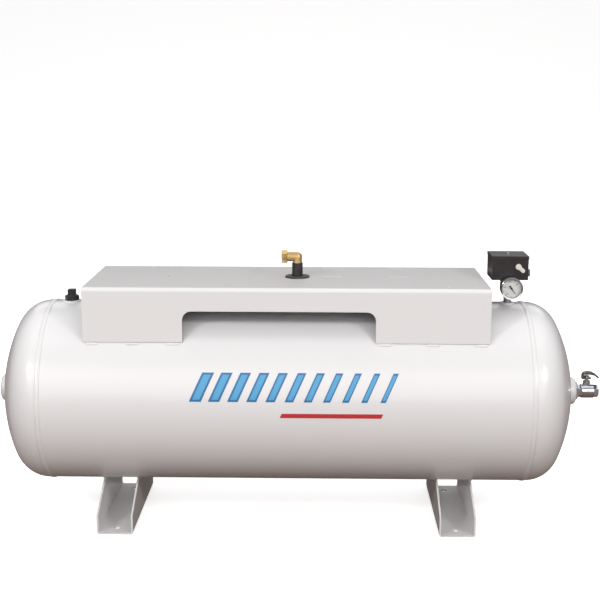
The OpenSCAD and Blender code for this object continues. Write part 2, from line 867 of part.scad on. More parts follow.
// The on-off lever, standing clear of the cover's front
module switch_lever() {
    t = 4;
    arm = 17;
    half = 5.5;
    color("beige") translate([lever_px, switch_front - 0.4, lever_pz]) {
        facing_front() linear_extrude(height = t) rotate(-42) {
            circle(8);
            translate([0, -half]) square([arm, 2 * half]);
            translate([arm, 0]) circle(half);
        }
        along_y() cylinder(h = switch_wall + 3, d = 5 - 2 * slip_gap);
    }
}

module switch_gland() {
    color("dimgray") control_frame() translate([switch_w / 2, switch_y, gland_z]) along_x() difference() {
        union() {
            hex(24, 5);
            translate([0, 0, 5]) cylinder(h = 7, d = 21);
            translate([0, 0, -7]) cylinder(h = 7, d = gland_hole - 2 * thread_gap);
        }
        translate([0, 0, -10]) cylinder(h = 40, d = 14);
    }
}

// ---- pressure gauge ------------------------------------------------------

// Children are drawn along the gauge's axis: z = 0 is y, growing to the back
module gauge_frame(y) translate([control_x, y, block_z]) along_y() children();

module gauge_case() {
    t = 1.2;
    color("black") gauge_frame(gauge_front) difference() {
        cylinder(h = gauge_back - gauge_front, r = gauge_r);
        translate([0, 0, -cut]) cylinder(h = gauge_back - gauge_front - 1.5 + cut, r = gauge_r - t);
        cylinder(h = 60, d = 12.4);
    }
}

movement_y = -50;

module gauge_socket() {
    flats = 14;
    color("gold") {
        difference() {
            union() {
                gauge_frame(-28) cylinder(h = 28 - block / 2 + port_depth - 1, d = male(pipe_14_od));
                translate([control_x - flats / 2, gauge_back, block_z - flats / 2]) cube([flats, 16, flats]);
                gauge_frame(gauge_back - 4) cylinder(h = 5, d = 12);
            }
            gauge_frame(gauge_back - 2) cylinder(h = 60, d = 5);
        }
        // the movement's back plate, on the socket
        difference() {
            gauge_frame(movement_y) cylinder(h = 2, r = 19);
            gauge_frame(movement_y - cut) cylinder(h = 2 + 2 * cut, d = arbor_d + 2 * slip_gap);
        }
        translate([sector_px, movement_y - 5.4, sector_pz]) along_y() cylinder(h = 5.4, d = sector_pin_d);
        // the arm that feeds the curved tube
        translate([control_x - 3, movement_y - 9, block_z - tube_mid + 0.6]) cube([6, 9, 6]);
    }
}

module gauge_tube() {
    color("gold") translate([control_x, movement_y - 2, block_z]) facing_front() rotate(-98)
        rotate_extrude(angle = 245) translate([tube_mid, 0]) square([1.4, 6]);
}

// Its teeth start a little past the arbor and reach back over the sector's whole travel
module gauge_sector() {
    tip = sector_pr + gear_add;
    mesh = sector_dir - 180;
    step = 360 / sector_n;
    extra = 2;
    first = mesh - sector_travel - (extra + 0.5) * step;
    count = sector_travel / step + 2 * extra + 2;
    last = first + (count - 1) * step;
    color("gold") translate([sector_px, movement_y - 3.6, sector_pz]) facing_front()
        linear_extrude(height = 1.2) difference() {
            union() {
                intersection() {
                    circle(tip);
                    polygon([[0, 0], for (k = [0:4]) let (a = first + (last - first) * k / 4)
                        1.2 * tip * [cos(a), sin(a)]]);
                }
                circle(3);
            }
            gear_gaps(sector_pr, count, step, first);
            circle(d = sector_pin_d + 2 * slip_gap);
        }
}

// The arbor with its pinion at the back and the pointer at the front
module gauge_pointer() {
    tip = gauge_r - 11;
    tail = 9;
    color("black") {
        translate([control_x, movement_y + 1.6, block_z]) facing_front() cylinder(h = 17, d = arbor_d);
        translate([control_x, movement_y - 3.4, block_z]) facing_front() linear_extrude(height = 1.6)
            difference() {
                circle(pinion_pr + gear_add);
                gear_gaps(pinion_pr, pinion_n, 360 / pinion_n, sector_dir);
            }
        translate([control_x, movement_y - 14.4, block_z]) facing_front() linear_extrude(height = 0.8)
            rotate(pointer_rest) {
                polygon([[0, 1.5], [tip, 0.4], [tip, -0.4], [0, -1.5], [-tail, -2.2], [-tail, 2.2]]);
                circle(2.6);
            }
    }
}

module gauge_dial() {
    color("white") gauge_frame(-61.5) ring(2 * gauge_r - 3, 3, 0.8);
}

module gauge_lens() {
    color("lightblue") gauge_frame(gauge_front - 1) cylinder(h = 2, r = gauge_r - 1.6);
}

module gauge_bezel() {
    color("silver") translate([control_x, 0, block_z]) rotate([90, 0, 0]) rotate_extrude()
        polygon([[gauge_r + 0.1, -gauge_front - 7], [gauge_r + 1.4, -gauge_front - 7],
                 [gauge_r + 1.4, -gauge_front + 1], [gauge_r - 0.3, -gauge_front + 2.2],
                 [gauge_r - 2.4, -gauge_front + 1.8], [gauge_r - 2.4, -gauge_front + 1.05],
                 [gauge_r - 1.4, -gauge_front + 1.05], [gauge_r - 1.4, -gauge_front + 0.1],
                 [gauge_r + 0.1, -gauge_front + 0.1]]);
}

// ---- safety valve --------------------------------------------------------

module relief_frame() translate([control_x, relief_y, 0]) children();

module safety_elbow() {
    color("gold") difference() {
        union() {
            translate([control_x, block / 2 - port_depth + 1, block_z]) along_y()
                cylinder(h = 12, d = male(pipe_14_od));
            translate([control_x, block / 2 + 0.5, block_z]) along_y()
                cylinder(h = relief_y - block / 2 - 0.5, d = 17);
            relief_frame() translate([0, 0, block_z]) sphere(d = 20);
            relief_frame() translate([0, 0, block_z]) cylinder(h = relief_z - block_z, d = 20);
        }
        translate([control_x, 0, block_z]) along_y() cylinder(h = relief_y, d = passage_d);
        relief_frame() translate([0, 0, block_z]) cylinder(h = 30, d = passage_d);
        relief_frame() translate([0, 0, relief_z - port_depth]) cylinder(h = 30, d = pipe_14_od);
    }
}

module safety_body() {
    color("gold") relief_frame() difference() {
        union() {
            translate([0, 0, relief_z - port_depth + 1]) cylinder(h = port_depth, d = male(pipe_14_od));
            translate([0, 0, relief_z]) hex(relief_barrel_d, relief_hex_top - relief_z);
            translate([0, 0, relief_hex_top])
                cylinder(h = relief_barrel_top - relief_hex_top, d = relief_barrel_d);
        }
        translate([0, 0, relief_z - port_depth]) cylinder(h = 40, d = 6);
        translate([0, 0, relief_hex_top + 1]) cylinder(h = 60, d = relief_bore);
        for (a = [45, 135]) rotate([0, 0, a]) translate([-20, 0, relief_hex_top + 9]) along_x()
            cylinder(h = 40, d = 5);
    }
}

// The disc on its rod, with an eye at the top for the pull ring
module safety_stem() {
    z0 = relief_disc_z;
    color("silver") relief_frame() difference() {
        union() {
            translate([0, 0, z0]) cylinder(h = relief_disc_t, d = 12);
            translate([0, 0, z0]) cylinder(h = relief_eye_z - 3 - z0, d = rod_d);
            translate([0, -1, relief_eye_z]) along_y() cylinder(h = 2, d = 8);
        }
        translate([0, -5, relief_eye_z]) along_y() cylinder(h = 10, d = ring_wire + 1.6);
    }
}

module safety_spring() {
    z0 = relief_disc_z + relief_disc_t + slip_gap;
    color("silver") relief_frame() translate([0, 0, z0])
        coil(4.6, 1.3, relief_barrel_top - 4 - slip_gap - z0, 6);
}

module safety_cap() {
    color("gold") relief_frame() difference() {
        union() {
            translate([0, 0, relief_barrel_top - 4]) cylinder(h = 5, d = male(relief_bore));
            translate([0, 0, relief_barrel_top]) hex(17, relief_cap_top - relief_barrel_top);
        }
        translate([0, 0, relief_barrel_top - 10]) cylinder(h = 40, d = rod_d + 6 * slip_gap);
    }
}

// The ring passes through the eye and leans down beside the barrel
module safety_ring() {
    color("silver") relief_frame() translate([0, 0, relief_eye_z]) rotate([0, -ring_lean, 0])
        translate([0, 0, -ring_r]) rotate([0, 90, 0])
            rotate_extrude() translate([ring_r, 0]) circle(d = ring_wire);
}

// ---- drain ---------------------------------------------------------------

module drain_frame() translate([drain_x, 0, drain_axis_z]) children();

module drain_elbow() {
    neck = 12;
    color("gold") drain_frame() difference() {
        union() {
            translate([0, drain_y, 0]) sphere(d = 17);
            translate([0, drain_y, 0]) cylinder(h = drain_z - drain_axis_z, d = 17);
            translate([0, drain_y, 0]) cylinder(h = drain_z - drain_axis_z + neck, d = male(pipe_14_od));
            translate([0, drain_y, 0]) along_y() cylinder(h = 20, d = 17);
        }
        translate([0, drain_y, 0]) cylinder(h = 40, d = 7);
        translate([0, drain_y, 0]) along_y() cylinder(h = 40, d = 7);
        translate([0, drain_y + 10, 0]) along_y() cylinder(h = 40, d = pipe_14_od);
    }
}

key_d = 9;

module drain_cock_body() {
    y0 = drain_y + 20;
    color("gold") drain_frame() difference() {
        union() {
            translate([0, y0 - 9, 0]) along_y() cylinder(h = 9, d = male(pipe_14_od));
            translate([0, y0, 0]) rotate([-90, 30, 0]) hex(15, 8);
            translate([0, y0 + 7, 0]) along_y() cylinder(h = 27, d = 12);
            translate([-9, drain_key_y, 0]) along_x() cylinder(h = 18, d = 15);
        }
        translate([0, y0 - 10, 0]) along_y() cylinder(h = 60, d = 5);
        translate([-12, drain_key_y, 0]) along_x() cylinder(h = 24, d = key_d);
    }
}

module drain_cock_key() {
    d = key_d - 2 * slip_gap;
    color("gold") drain_frame() translate([0, drain_key_y, 0]) difference() {
        union() {
            translate([-11, 0, 0]) along_x() cylinder(h = 24, d = d);
            translate([-12.5, 0, 0]) along_x() cylinder(h = 3, d = 12);
            translate([12, 0, 0]) along_x() cylinder(h = 3, d = 10);
            translate([12, -3.5, -14]) cube([3, 7, 28]);
        }
        translate([0, 0, -10]) cylinder(h = 20, d = 5);
    }
}

tank_shell();
head_left();
head_right();
seam_welds();
foot_left();
foot_right();
mounting_platform();
fillet_welds();
head_couplings();
inch_couplings();
control_coupling();
drain_coupling();
inspection_plug();
service_bushing();
service_plug();
outlet_bushing();
valve_body();
valve_end_piece();
valve_seats();
valve_ball();
valve_stem();
valve_packing();
valve_gland_nut();
valve_lever();
valve_lever_nut();
check_valve_body();
check_valve_disc();
check_valve_spring();
inlet_elbow();
inlet_ferrule();
inlet_nut();
platform_grommet();
control_nipple();
control_manifold();
manifold_plugs();
switch_base();
switch_diaphragm();
switch_spring();
switch_contact_block();
switch_cover();
switch_cover_screw();
switch_lever();
switch_gland();
gauge_case();
gauge_socket();
gauge_tube();
gauge_sector();
gauge_pointer();
gauge_dial();
gauge_lens();
gauge_bezel();
safety_elbow();
safety_body();
safety_stem();
safety_spring();
safety_cap();
safety_ring();
drain_elbow();
drain_cock_body();
drain_cock_key();
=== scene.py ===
# %% [markdown]
# # A horizontal air receiver tank
# An air receiver is a welded steel vessel that stores compressed air. This one
# lies on two saddle feet and carries a bent steel platform for the machine that
# fills it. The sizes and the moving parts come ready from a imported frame, so this
# notebook adds only what the eye wants: paint, metal, weld beads, a gauge face and
# the light. Everything is in metres, +X runs along the tank and -Y is the front.

# %% Load the frame
import json
import math

import bmesh
import bpy
from mathutils import Matrix, Vector

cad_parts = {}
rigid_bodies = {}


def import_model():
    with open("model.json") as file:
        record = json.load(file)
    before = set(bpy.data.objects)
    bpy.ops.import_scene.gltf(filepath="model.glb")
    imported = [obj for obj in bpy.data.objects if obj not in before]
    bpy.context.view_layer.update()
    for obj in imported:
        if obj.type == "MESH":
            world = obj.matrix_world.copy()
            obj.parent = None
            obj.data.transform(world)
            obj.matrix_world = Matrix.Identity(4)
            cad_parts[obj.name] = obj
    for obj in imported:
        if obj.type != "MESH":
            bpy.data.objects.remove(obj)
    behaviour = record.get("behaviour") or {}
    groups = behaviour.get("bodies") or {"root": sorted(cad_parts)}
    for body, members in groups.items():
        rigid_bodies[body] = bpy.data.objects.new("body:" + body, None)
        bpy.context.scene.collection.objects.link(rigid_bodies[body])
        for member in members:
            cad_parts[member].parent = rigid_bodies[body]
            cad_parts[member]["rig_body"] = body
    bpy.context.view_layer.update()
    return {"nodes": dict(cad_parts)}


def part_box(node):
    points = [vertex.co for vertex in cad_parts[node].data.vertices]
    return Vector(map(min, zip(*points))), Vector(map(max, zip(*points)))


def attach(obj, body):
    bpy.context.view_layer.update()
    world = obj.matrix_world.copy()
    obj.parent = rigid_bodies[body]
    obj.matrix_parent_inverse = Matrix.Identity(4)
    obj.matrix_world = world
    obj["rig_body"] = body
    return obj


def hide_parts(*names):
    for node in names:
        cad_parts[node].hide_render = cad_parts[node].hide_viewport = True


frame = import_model()
scene = bpy.context.scene
MM = 0.001

# %% [markdown]
# ## Measures
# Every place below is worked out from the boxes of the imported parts, so the looks
# follow the design. The shell gives the tank's axis and radius, the heads give its
# ends, and each fitting gives its own middle.

# %% Measures
def middle(node):
    low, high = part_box(node)
    return (low + high) / 2


shell_low, shell_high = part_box("tank_shell")
axis = middle("tank_shell")
radius = (shell_high.y - shell_low.y) / 2
seam_x = shell_high.x
tank_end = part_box("head_right")[1].x
plate_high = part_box("mounting_platform")[1]
print("radius", round(radius, 4), "axis height", round(axis.z, 4), "seam", round(seam_x, 4))

# %% [markdown]
# ## Camera
# A long lens from about three metres away keeps the tank's sides nearly parallel. The
# camera is built from three turns: a little yaw, eleven degrees of downward pitch and
# a trace of roll.

# %% Camera
def look(place, yaw, pitch, roll):
    level = math.cos(pitch)
    ahead = Vector((-math.sin(yaw) * level, math.cos(yaw) * level, -math.sin(pitch)))
    side = Vector((math.cos(yaw), math.sin(yaw), 0))
    up = side.cross(ahead)
    right = side * math.cos(roll) + up * math.sin(roll)
    above = up * math.cos(roll) - side * math.sin(roll)
    turn = Matrix((right, above, -ahead)).transposed().to_4x4()
    return Matrix.Translation(place) @ turn


def new_object(name, data):
    thing = bpy.data.objects.new(name, data)
    scene.collection.objects.link(thing)
    return thing


camera_data = bpy.data.cameras.new("camera")
camera_data.sensor_width = 36
camera_data.lens = 69.8
camera = new_object("camera", camera_data)
YAW, PITCH, ROLL = (math.radians(degrees) for degrees in (0.924, 10.989, 0.133))
camera.matrix_world = look(Vector((0.0866, -3.2301, 1.2532)), YAW, PITCH, ROLL)
scene.camera = camera
print("camera:", camera_data.lens, "mm lens at", tuple(camera.matrix_world.translation))

# %% [markdown]
# ## Floor and backdrop
# The floor is one sheet that curves up into a wall behind the tank. Studios call it a
# cove: with no corner there is no line behind the object. It is made from a short
# profile of points, swept sideways.

# %% Floor and backdrop
def mesh_object(name, verts, faces, smooth=False):
    mesh = bpy.data.meshes.new(name)
    mesh.from_pydata([tuple(v) for v in verts], [], faces)
    mesh.update()
    for face in mesh.polygons:
        face.use_smooth = smooth
    return new_object(name, mesh)


def cove(half_width=40.0, front=-60.0, back=5.0, bend=2.5, height=6.0, steps=16):
    line = [(front, 0.0)]
    for i in range(steps + 1):
        a = math.radians(90 * i / steps)
        line.append((back + bend * math.sin(a), bend * (1 - math.cos(a))))
    line.append((back + bend, height))
    verts = [(x, y, z) for y, z in line for x in (-half_width, half_width)]
    faces = [(2 * i, 2 * i + 1, 2 * i + 3, 2 * i + 2) for i in range(len(line) - 1)]
    return mesh_object("cove", verts, faces, smooth=True)


floor = cove()
print("cove:", len(floor.data.polygons), "faces")

# %% [markdown]
# ## Helpers for node trees
# Blender's materials and Geometry Nodes are both trees of nodes. `put` makes one
# node, and `feed` sets a node's inputs by name and links whatever is given as a
# socket. The helpers after them stand for the nodes used most, so a tree reads from
# top to bottom like a recipe.

# %% Helpers for node trees
def feed(tree, node, inputs):
    for key, value in inputs.items():
        if isinstance(value, bpy.types.NodeSocket):
            tree.links.new(value, node.inputs[key])
        else:
            node.inputs[key].default_value = value
    return node


def put(tree, kind, inputs=None, **settings):
    node = tree.nodes.new(kind)
    for key, value in settings.items():
        setattr(node, key, value)
    return feed(tree, node, inputs or {})


def maths(tree, operation, *values):
    # with more than two values, the operation runs from left to right
    result = put(tree, "ShaderNodeMath", dict(enumerate(values[:2])), operation=operation).outputs[0]
    return maths(tree, operation, result, *values[2:]) if len(values) > 2 else result


def times(tree, *values):
    return maths(tree, "MULTIPLY", *values)


def plus(tree, *values):
    return maths(tree, "ADD", *values)


def spread(tree, value, low, high, to_low=0.0, to_high=1.0):
    # rescales a value that runs from low to high, and holds it at both ends
    return put(tree, "ShaderNodeMapRange", {"Value": value, "From Min": low, "From Max": high,
                                            "To Min": to_low, "To Max": to_high}).outputs["Result"]


def vector_maths(tree, operation, a, b=(0, 0, 0)):
    return put(tree, "ShaderNodeVectorMath", {0: a, 1: b}, operation=operation).outputs[0]


def scaled(tree, vector, by):
    return put(tree, "ShaderNodeVectorMath", {0: vector, "Scale": by}, operation="SCALE").outputs[0]


def combine(tree, x=0.0, y=0.0, z=0.0):
    return put(tree, "ShaderNodeCombineXYZ", {"X": x, "Y": y, "Z": z}).outputs[0]


def separate(tree, vector):
    return put(tree, "ShaderNodeSeparateXYZ", {0: vector}).outputs


def blend_colour(tree, factor, a, b):
    # a colour is a socket or three numbers
    a, b = (value if isinstance(value, bpy.types.NodeSocket) else (*value, 1) for value in (a, b))
    return put(tree, "ShaderNodeMix", {0: factor, 6: a, 7: b}, data_type="RGBA").outputs[2]


def noise(tree, vector, scale, detail=3.0, roughness=0.5):
    return put(tree, "ShaderNodeTexNoise", {"Vector": vector, "Scale": scale, "Detail": detail,
                                            "Roughness": roughness}).outputs["Fac"]

# %% Groups and their inputs
SOCKET_KINDS = {float: "NodeSocketFloat", int: "NodeSocketInt", tuple: "NodeSocketVector",
                type(None): "NodeSocketMaterial"}


def add_inputs(tree, inputs):
    # each input's kind follows from its first value; a material has none
    for title, value in inputs.items():
        socket = tree.interface.new_socket(title.replace("_", " "), in_out="INPUT",
                                           socket_type=SOCKET_KINDS[type(value)])
        if value is not None:
            socket.default_value = value


def new_group(name, *outputs, **inputs):
    group = bpy.data.node_groups.new(name, "ShaderNodeTree")
    add_inputs(group, inputs)
    for title in outputs:
        group.interface.new_socket(title, in_out="OUTPUT", socket_type="NodeSocketFloat")
    return group, group.nodes.new("NodeGroupInput").outputs, group.nodes.new("NodeGroupOutput").inputs

# %% [markdown]
# ## Orange peel
# Sprayed enamel never dries flat. It keeps a fine dimpled skin that painters call
# orange peel, over long soft waves where the coat is thicker. Both are noise on the
# object's own coordinates. The group gives a height for a Bump node and a slow tone
# that the paint uses to vary its colour and gloss.

# %% Shader group: orange peel
def orange_peel_group():
    group, given, out = new_group("orange_peel", "Height", "Tone", Vector=(0, 0, 0), Peel_Scale=260.0,
                                  Wave_Scale=5.0, Peel=0.5, Waves=0.5)
    peel = noise(group, given["Vector"], given["Peel Scale"], 2.0)
    waves = noise(group, given["Vector"], given["Wave Scale"], 1.0)
    height = plus(group, times(group, peel, given["Peel"]), times(group, waves, given["Waves"]))
    group.links.new(height, out["Height"])
    group.links.new(noise(group, given["Vector"], 2.3, 1.0), out["Tone"])
    return group


orange_peel = orange_peel_group()

# %% [markdown]
# ## Settled dust
# Dust lands on what faces up and clings in patches. The mask is the upward part of
# the surface normal times a noise, so it is nothing on the sides and below.

# %% Shader group: settled dust
def settled_dust_group():
    group, given, out = new_group("settled_dust", "Mask", Vector=(0, 0, 0), Amount=0.1, Patch_Scale=9.0)
    up = separate(group, group.nodes.new("ShaderNodeNewGeometry").outputs["Normal"])["Z"]
    facing = spread(group, up, 0.3, 1.0)
    patches = noise(group, given["Vector"], given["Patch Scale"], 6.0, 0.6)
    patchy = spread(group, patches, 0.2, 0.8, 0.3, 1.0)
    group.links.new(times(group, facing, patchy, given["Amount"]), out["Mask"])
    return group


settled_dust = settled_dust_group()

# %% [markdown]
# ## Metal surface
# Bare metal shows how it was made: a cast face is grainy, a turned or drawn one has
# fine lines one way. One group serves both. It stretches its noise with a scale
# vector and gives a height, and a wear value that darkens and dulls patches where
# fingers and oil have been.

# %% Shader group: metal surface
def metal_surface_group():
    group, given, out = new_group("metal_surface", "Height", "Wear", Vector=(0, 0, 0), Stretch=(1, 1, 1),
                                  Grain_Scale=900.0, Wear_Scale=60.0)
    stretched = vector_maths(group, "MULTIPLY", given["Vector"], given["Stretch"])
    wear = noise(group, given["Vector"], given["Wear Scale"], 5.0, 0.6)
    group.links.new(noise(group, stretched, given["Grain Scale"], 4.0, 0.6), out["Height"])
    group.links.new(spread(group, wear, 0.35, 0.68), out["Wear"])
    return group


metal_surface = metal_surface_group()

# %% [markdown]
# ## Paint
# One recipe makes every sprayed finish here. The Principled shader takes a base
# colour that drifts between two close tones, a thin clear coat for the gloss, and a
# bump from the orange peel. Dust fades the colour a little and raises the roughness.

# %% Paint recipe
def start_material(name):
    material = bpy.data.materials.new(name)
    material.use_nodes = True
    tree = material.node_tree
    shader = tree.nodes["Principled BSDF"]
    place = tree.nodes.new("ShaderNodeTexCoord").outputs["Object"]
    return material, tree, shader, place


def call(tree, group, **inputs):
    given = {key.replace("_", " "): value for key, value in inputs.items()}
    return put(tree, "ShaderNodeGroup", given, node_tree=group).outputs


def dress(tree, shader, colour, roughness, height, depth, strength):
    # links what changes over the surface to the shader
    bump = put(tree, "ShaderNodeBump", {"Height": height, "Distance": depth, "Strength": strength})
    feed(tree, shader, {"Base Color": colour, "Roughness": roughness, "Normal": bump.outputs["Normal"]})


def paint(name, light, dark, gloss=0.16, coat=0.5, peel=0.5, depth=0.00012, dust=0.1):
    material, tree, shader, place = start_material(name)
    skin = call(tree, orange_peel, Vector=place, Peel=peel)
    film = call(tree, settled_dust, Vector=place, Amount=dust)
    colour = blend_colour(tree, skin["Tone"], light, dark)
    dusty = blend_colour(tree, film["Mask"], colour, PAINT_DUST)
    sheen = spread(tree, skin["Tone"], 0.0, 1.0, gloss, gloss * 1.1)
    rough = plus(tree, sheen, times(tree, film["Mask"], 0.5))
    dress(tree, shader, dusty, rough, skin["Height"], depth, 0.6)
    feed(tree, shader, {"Coat Weight": coat, "Coat Roughness": 0.12})
    return material


PAINT_DUST = (0.42, 0.40, 0.37)
TANK_WHITE = (0.755, 0.745, 0.745)
TANK_SHADE = (0.742, 0.731, 0.729)
SPRAYED = {"gloss": 0.24, "coat": 0.25, "dust": 0.04}
PRINTED = {"gloss": 0.3, "coat": 0.1, "depth": 0.00004}
tank_paint = paint("tank_enamel", TANK_WHITE, TANK_SHADE, **SPRAYED)
black_paint = paint("black_enamel", (0.012, 0.012, 0.013), (0.02, 0.02, 0.021), gloss=0.28, dust=0.04)
case_paint = paint("gauge_case_black", (0.010, 0.010, 0.011), (0.016, 0.016, 0.017), gloss=0.3, dust=0.03)
blue_print = paint("printed_blue", (0.018, 0.150, 0.360), (0.015, 0.135, 0.330), **PRINTED)
sky_print = paint("printed_sky_blue", (0.070, 0.350, 0.620), (0.060, 0.320, 0.580), **PRINTED)
red_print = paint("printed_red", (0.55, 0.035, 0.040), (0.48, 0.030, 0.035), **PRINTED)
print("paints:", [m.name for m in (tank_paint, black_paint, case_paint, blue_print, sky_print, red_print)])

# %% [markdown]
# ## Metals
# Brass, chrome, zinc and bare iron differ in colour, in how smooth they are and in
# which way their lines run. All are fully metallic, so their colour is the colour of
# what they reflect.

# %% Metal recipe
def metal(name, bright, dull, rough=0.2, wear=0.15, stretch=(1, 1, 1), grain=900.0, depth=0.00004,
          metallic=1.0):
    material, tree, shader, place = start_material(name)
    surface = call(tree, metal_surface, Vector=place, Stretch=stretch, Grain_Scale=grain)
    colour = blend_colour(tree, surface["Wear"], bright, dull)
    roughness = spread(tree, surface["Wear"], 0.0, 1.0, rough, rough + wear)
    dress(tree, shader, colour, roughness, surface["Height"], depth, 0.5)
    feed(tree, shader, {"Metallic": metallic})
    return material


turned_brass = metal("turned_brass", (0.78, 0.56, 0.25), (0.62, 0.42, 0.18), 0.2, 0.15, (1, 1, 14), 260)
cast_brass = metal("cast_brass", (0.70, 0.49, 0.23), (0.52, 0.35, 0.16), 0.36, 0.2, grain=1500, depth=0.00012)
# painted reflection: the slight blue in the chrome's colour offsets the warm floor it mirrors
polished_chrome = metal("polished_chrome", (0.72, 0.755, 0.81), (0.60, 0.63, 0.68), 0.08, 0.12, depth=0.00001)
# painted reflection: the lever is chrome, and its dark grey stands in for the dark surroundings it mirrors
lever_chrome_painted_dark = metal("lever_chrome_painted_dark", (0.34, 0.34, 0.36), (0.24, 0.24, 0.25), 0.18, 0.15, grain=700)
zinc_plate = metal("zinc_plate", (0.60, 0.60, 0.58), (0.45, 0.45, 0.43), 0.28, 0.18, grain=700)
drawn_steel = metal("drawn_steel", (0.52, 0.52, 0.53), (0.36, 0.35, 0.35), 0.25, 0.2, (1, 1, 10), 400)
galvanised = metal("galvanised_iron", (0.46, 0.47, 0.48), (0.34, 0.34, 0.35), 0.4, 0.2, grain=500,
                   depth=0.0001)
black_iron = metal("black_iron", (0.035, 0.034, 0.034), (0.02, 0.019, 0.019), 0.42, 0.2, grain=1300,
                   depth=0.00015, metallic=0.35)

# %% [markdown]
# ## Plastics and rubber
# A moulded cover copies the fine spark-eroded texture of its mould, while rubber is
# dull and a little dusty. They share one recipe with different grain.

# %% Plastic recipe
def plastic(name, colour, second, rough=0.45, grain=1400.0, depth=0.00008, dust=0.08):
    material, tree, shader, place = start_material(name)
    surface = call(tree, metal_surface, Vector=place, Grain_Scale=grain, Wear_Scale=25.0)
    film = call(tree, settled_dust, Vector=place, Amount=dust)
    tone = blend_colour(tree, surface["Wear"], colour, second)
    dusty = blend_colour(tree, film["Mask"], tone, (0.30, 0.29, 0.27))
    roughness = spread(tree, surface["Wear"], 0.0, 1.0, rough, rough + 0.12)
    dress(tree, shader, dusty, roughness, surface["Height"], depth, 0.6)
    return material


cover_plastic = plastic("moulded_cover", (0.013, 0.010, 0.010), (0.020, 0.016, 0.015), 0.34)
grey_plastic = plastic("gland_plastic", (0.10, 0.10, 0.105), (0.13, 0.13, 0.135), 0.4)
lever_plastic = plastic("lever_plastic", (0.72, 0.68, 0.62), (0.66, 0.62, 0.56), 0.35)
phenolic = plastic("phenolic", (0.20, 0.10, 0.05), (0.16, 0.08, 0.04), 0.3)
seat_plastic = plastic("seat_plastic", (0.80, 0.80, 0.78), (0.75, 0.75, 0.73), 0.35, dust=0.0)
disc_plastic = plastic("disc_plastic", (0.25, 0.13, 0.08), (0.2, 0.1, 0.06), 0.4, dust=0.0)
seal_rubber = plastic("seal_rubber", (0.018, 0.018, 0.018), (0.028, 0.027, 0.026), 0.6, 900.0, 0.0001, 0.2)

# %% [markdown]
# ## Gauge face and lens
# The dial is white enamel on tin, dull enough to read. The lens is a flat disc of clear
# acrylic. Its index is kept near one so the figures aren't seen twice, a coat gives
# back the surface shine, and a low alpha lets the lamps reach the dial.

# %% Gauge materials
FLAT = {"coat": 0.0, "dust": 0.0}
dial_white = paint("dial_white", (0.83, 0.82, 0.79), (0.80, 0.79, 0.76), gloss=0.45, **FLAT)
dial_ink = paint("dial_ink", (0.010, 0.010, 0.012), (0.016, 0.016, 0.018), gloss=0.5, **FLAT)


def clear_lens():
    material, tree, shader, place = start_material("clear_lens")
    smeared = spread(tree, noise(tree, place, 90.0, 5.0, 0.6), 0.4, 0.75, 0.02, 0.07)
    feed(tree, shader, {"Base Color": (0.97, 0.985, 0.98, 1), "Roughness": smeared, "IOR": 1.03,
                        "Transmission Weight": 1.0, "Coat Weight": 1.0, "Alpha": 0.3})
    return material


lens_acrylic = clear_lens()

# %% [markdown]
# ## Painted shade under the platform
# The space beneath the platform lies in deep shade, and that shade is painted into
# the colour: the deck's underside and the skirts' inner faces are given a dark blue.
# A group turns the place on the plate into a mask: 1 anywhere deeper than the
# plate's outer skin, 0 on its outer faces.

# %% Painted shade under the platform
SKIN = 4.5 * MM
# painted shade: this dark blue stands in for the deep shade under the platform
PAINTED_SHADE_NAVY = (0.016, 0.021, 0.048)


def inner_face_group():
    group, given, out = new_group("inner_face", "Mask", Vector=(0, 0, 0))
    part = separate(group, given["Vector"])
    across = maths(group, "ABSOLUTE", part["Y"])
    deep = [spread(group, place, edge - SKIN, edge - SKIN / 2, 1.0, 0.0)
            for place, edge in ((across, plate_high.y), (part["Z"], plate_high.z))]
    group.links.new(times(group, *deep), out["Mask"])
    return group


inner_face = inner_face_group()


def painted_shade_inside():
    material = paint("platform_enamel_and_painted_shade", TANK_WHITE, TANK_SHADE, **SPRAYED)
    tree = material.node_tree
    socket = tree.nodes["Principled BSDF"].inputs["Base Color"]
    painted_shade_mask = call(tree, inner_face, Vector=tree.nodes["Texture Coordinate"].outputs["Object"])["Mask"]
    # painted shade: the paint turns dark blue on the inner faces, where the shade falls
    tree.links.new(blend_colour(tree, painted_shade_mask, socket.links[0].from_socket, PAINTED_SHADE_NAVY), socket)
    return material


platform_paint_and_shade = painted_shade_inside()
print("painted_shade deeper than", SKIN, "m under the platform")

# %% [markdown]
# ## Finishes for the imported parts
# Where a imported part's shape is already right, it only needs its finish. The table
# groups the parts by what they are made of, and each gets one material.

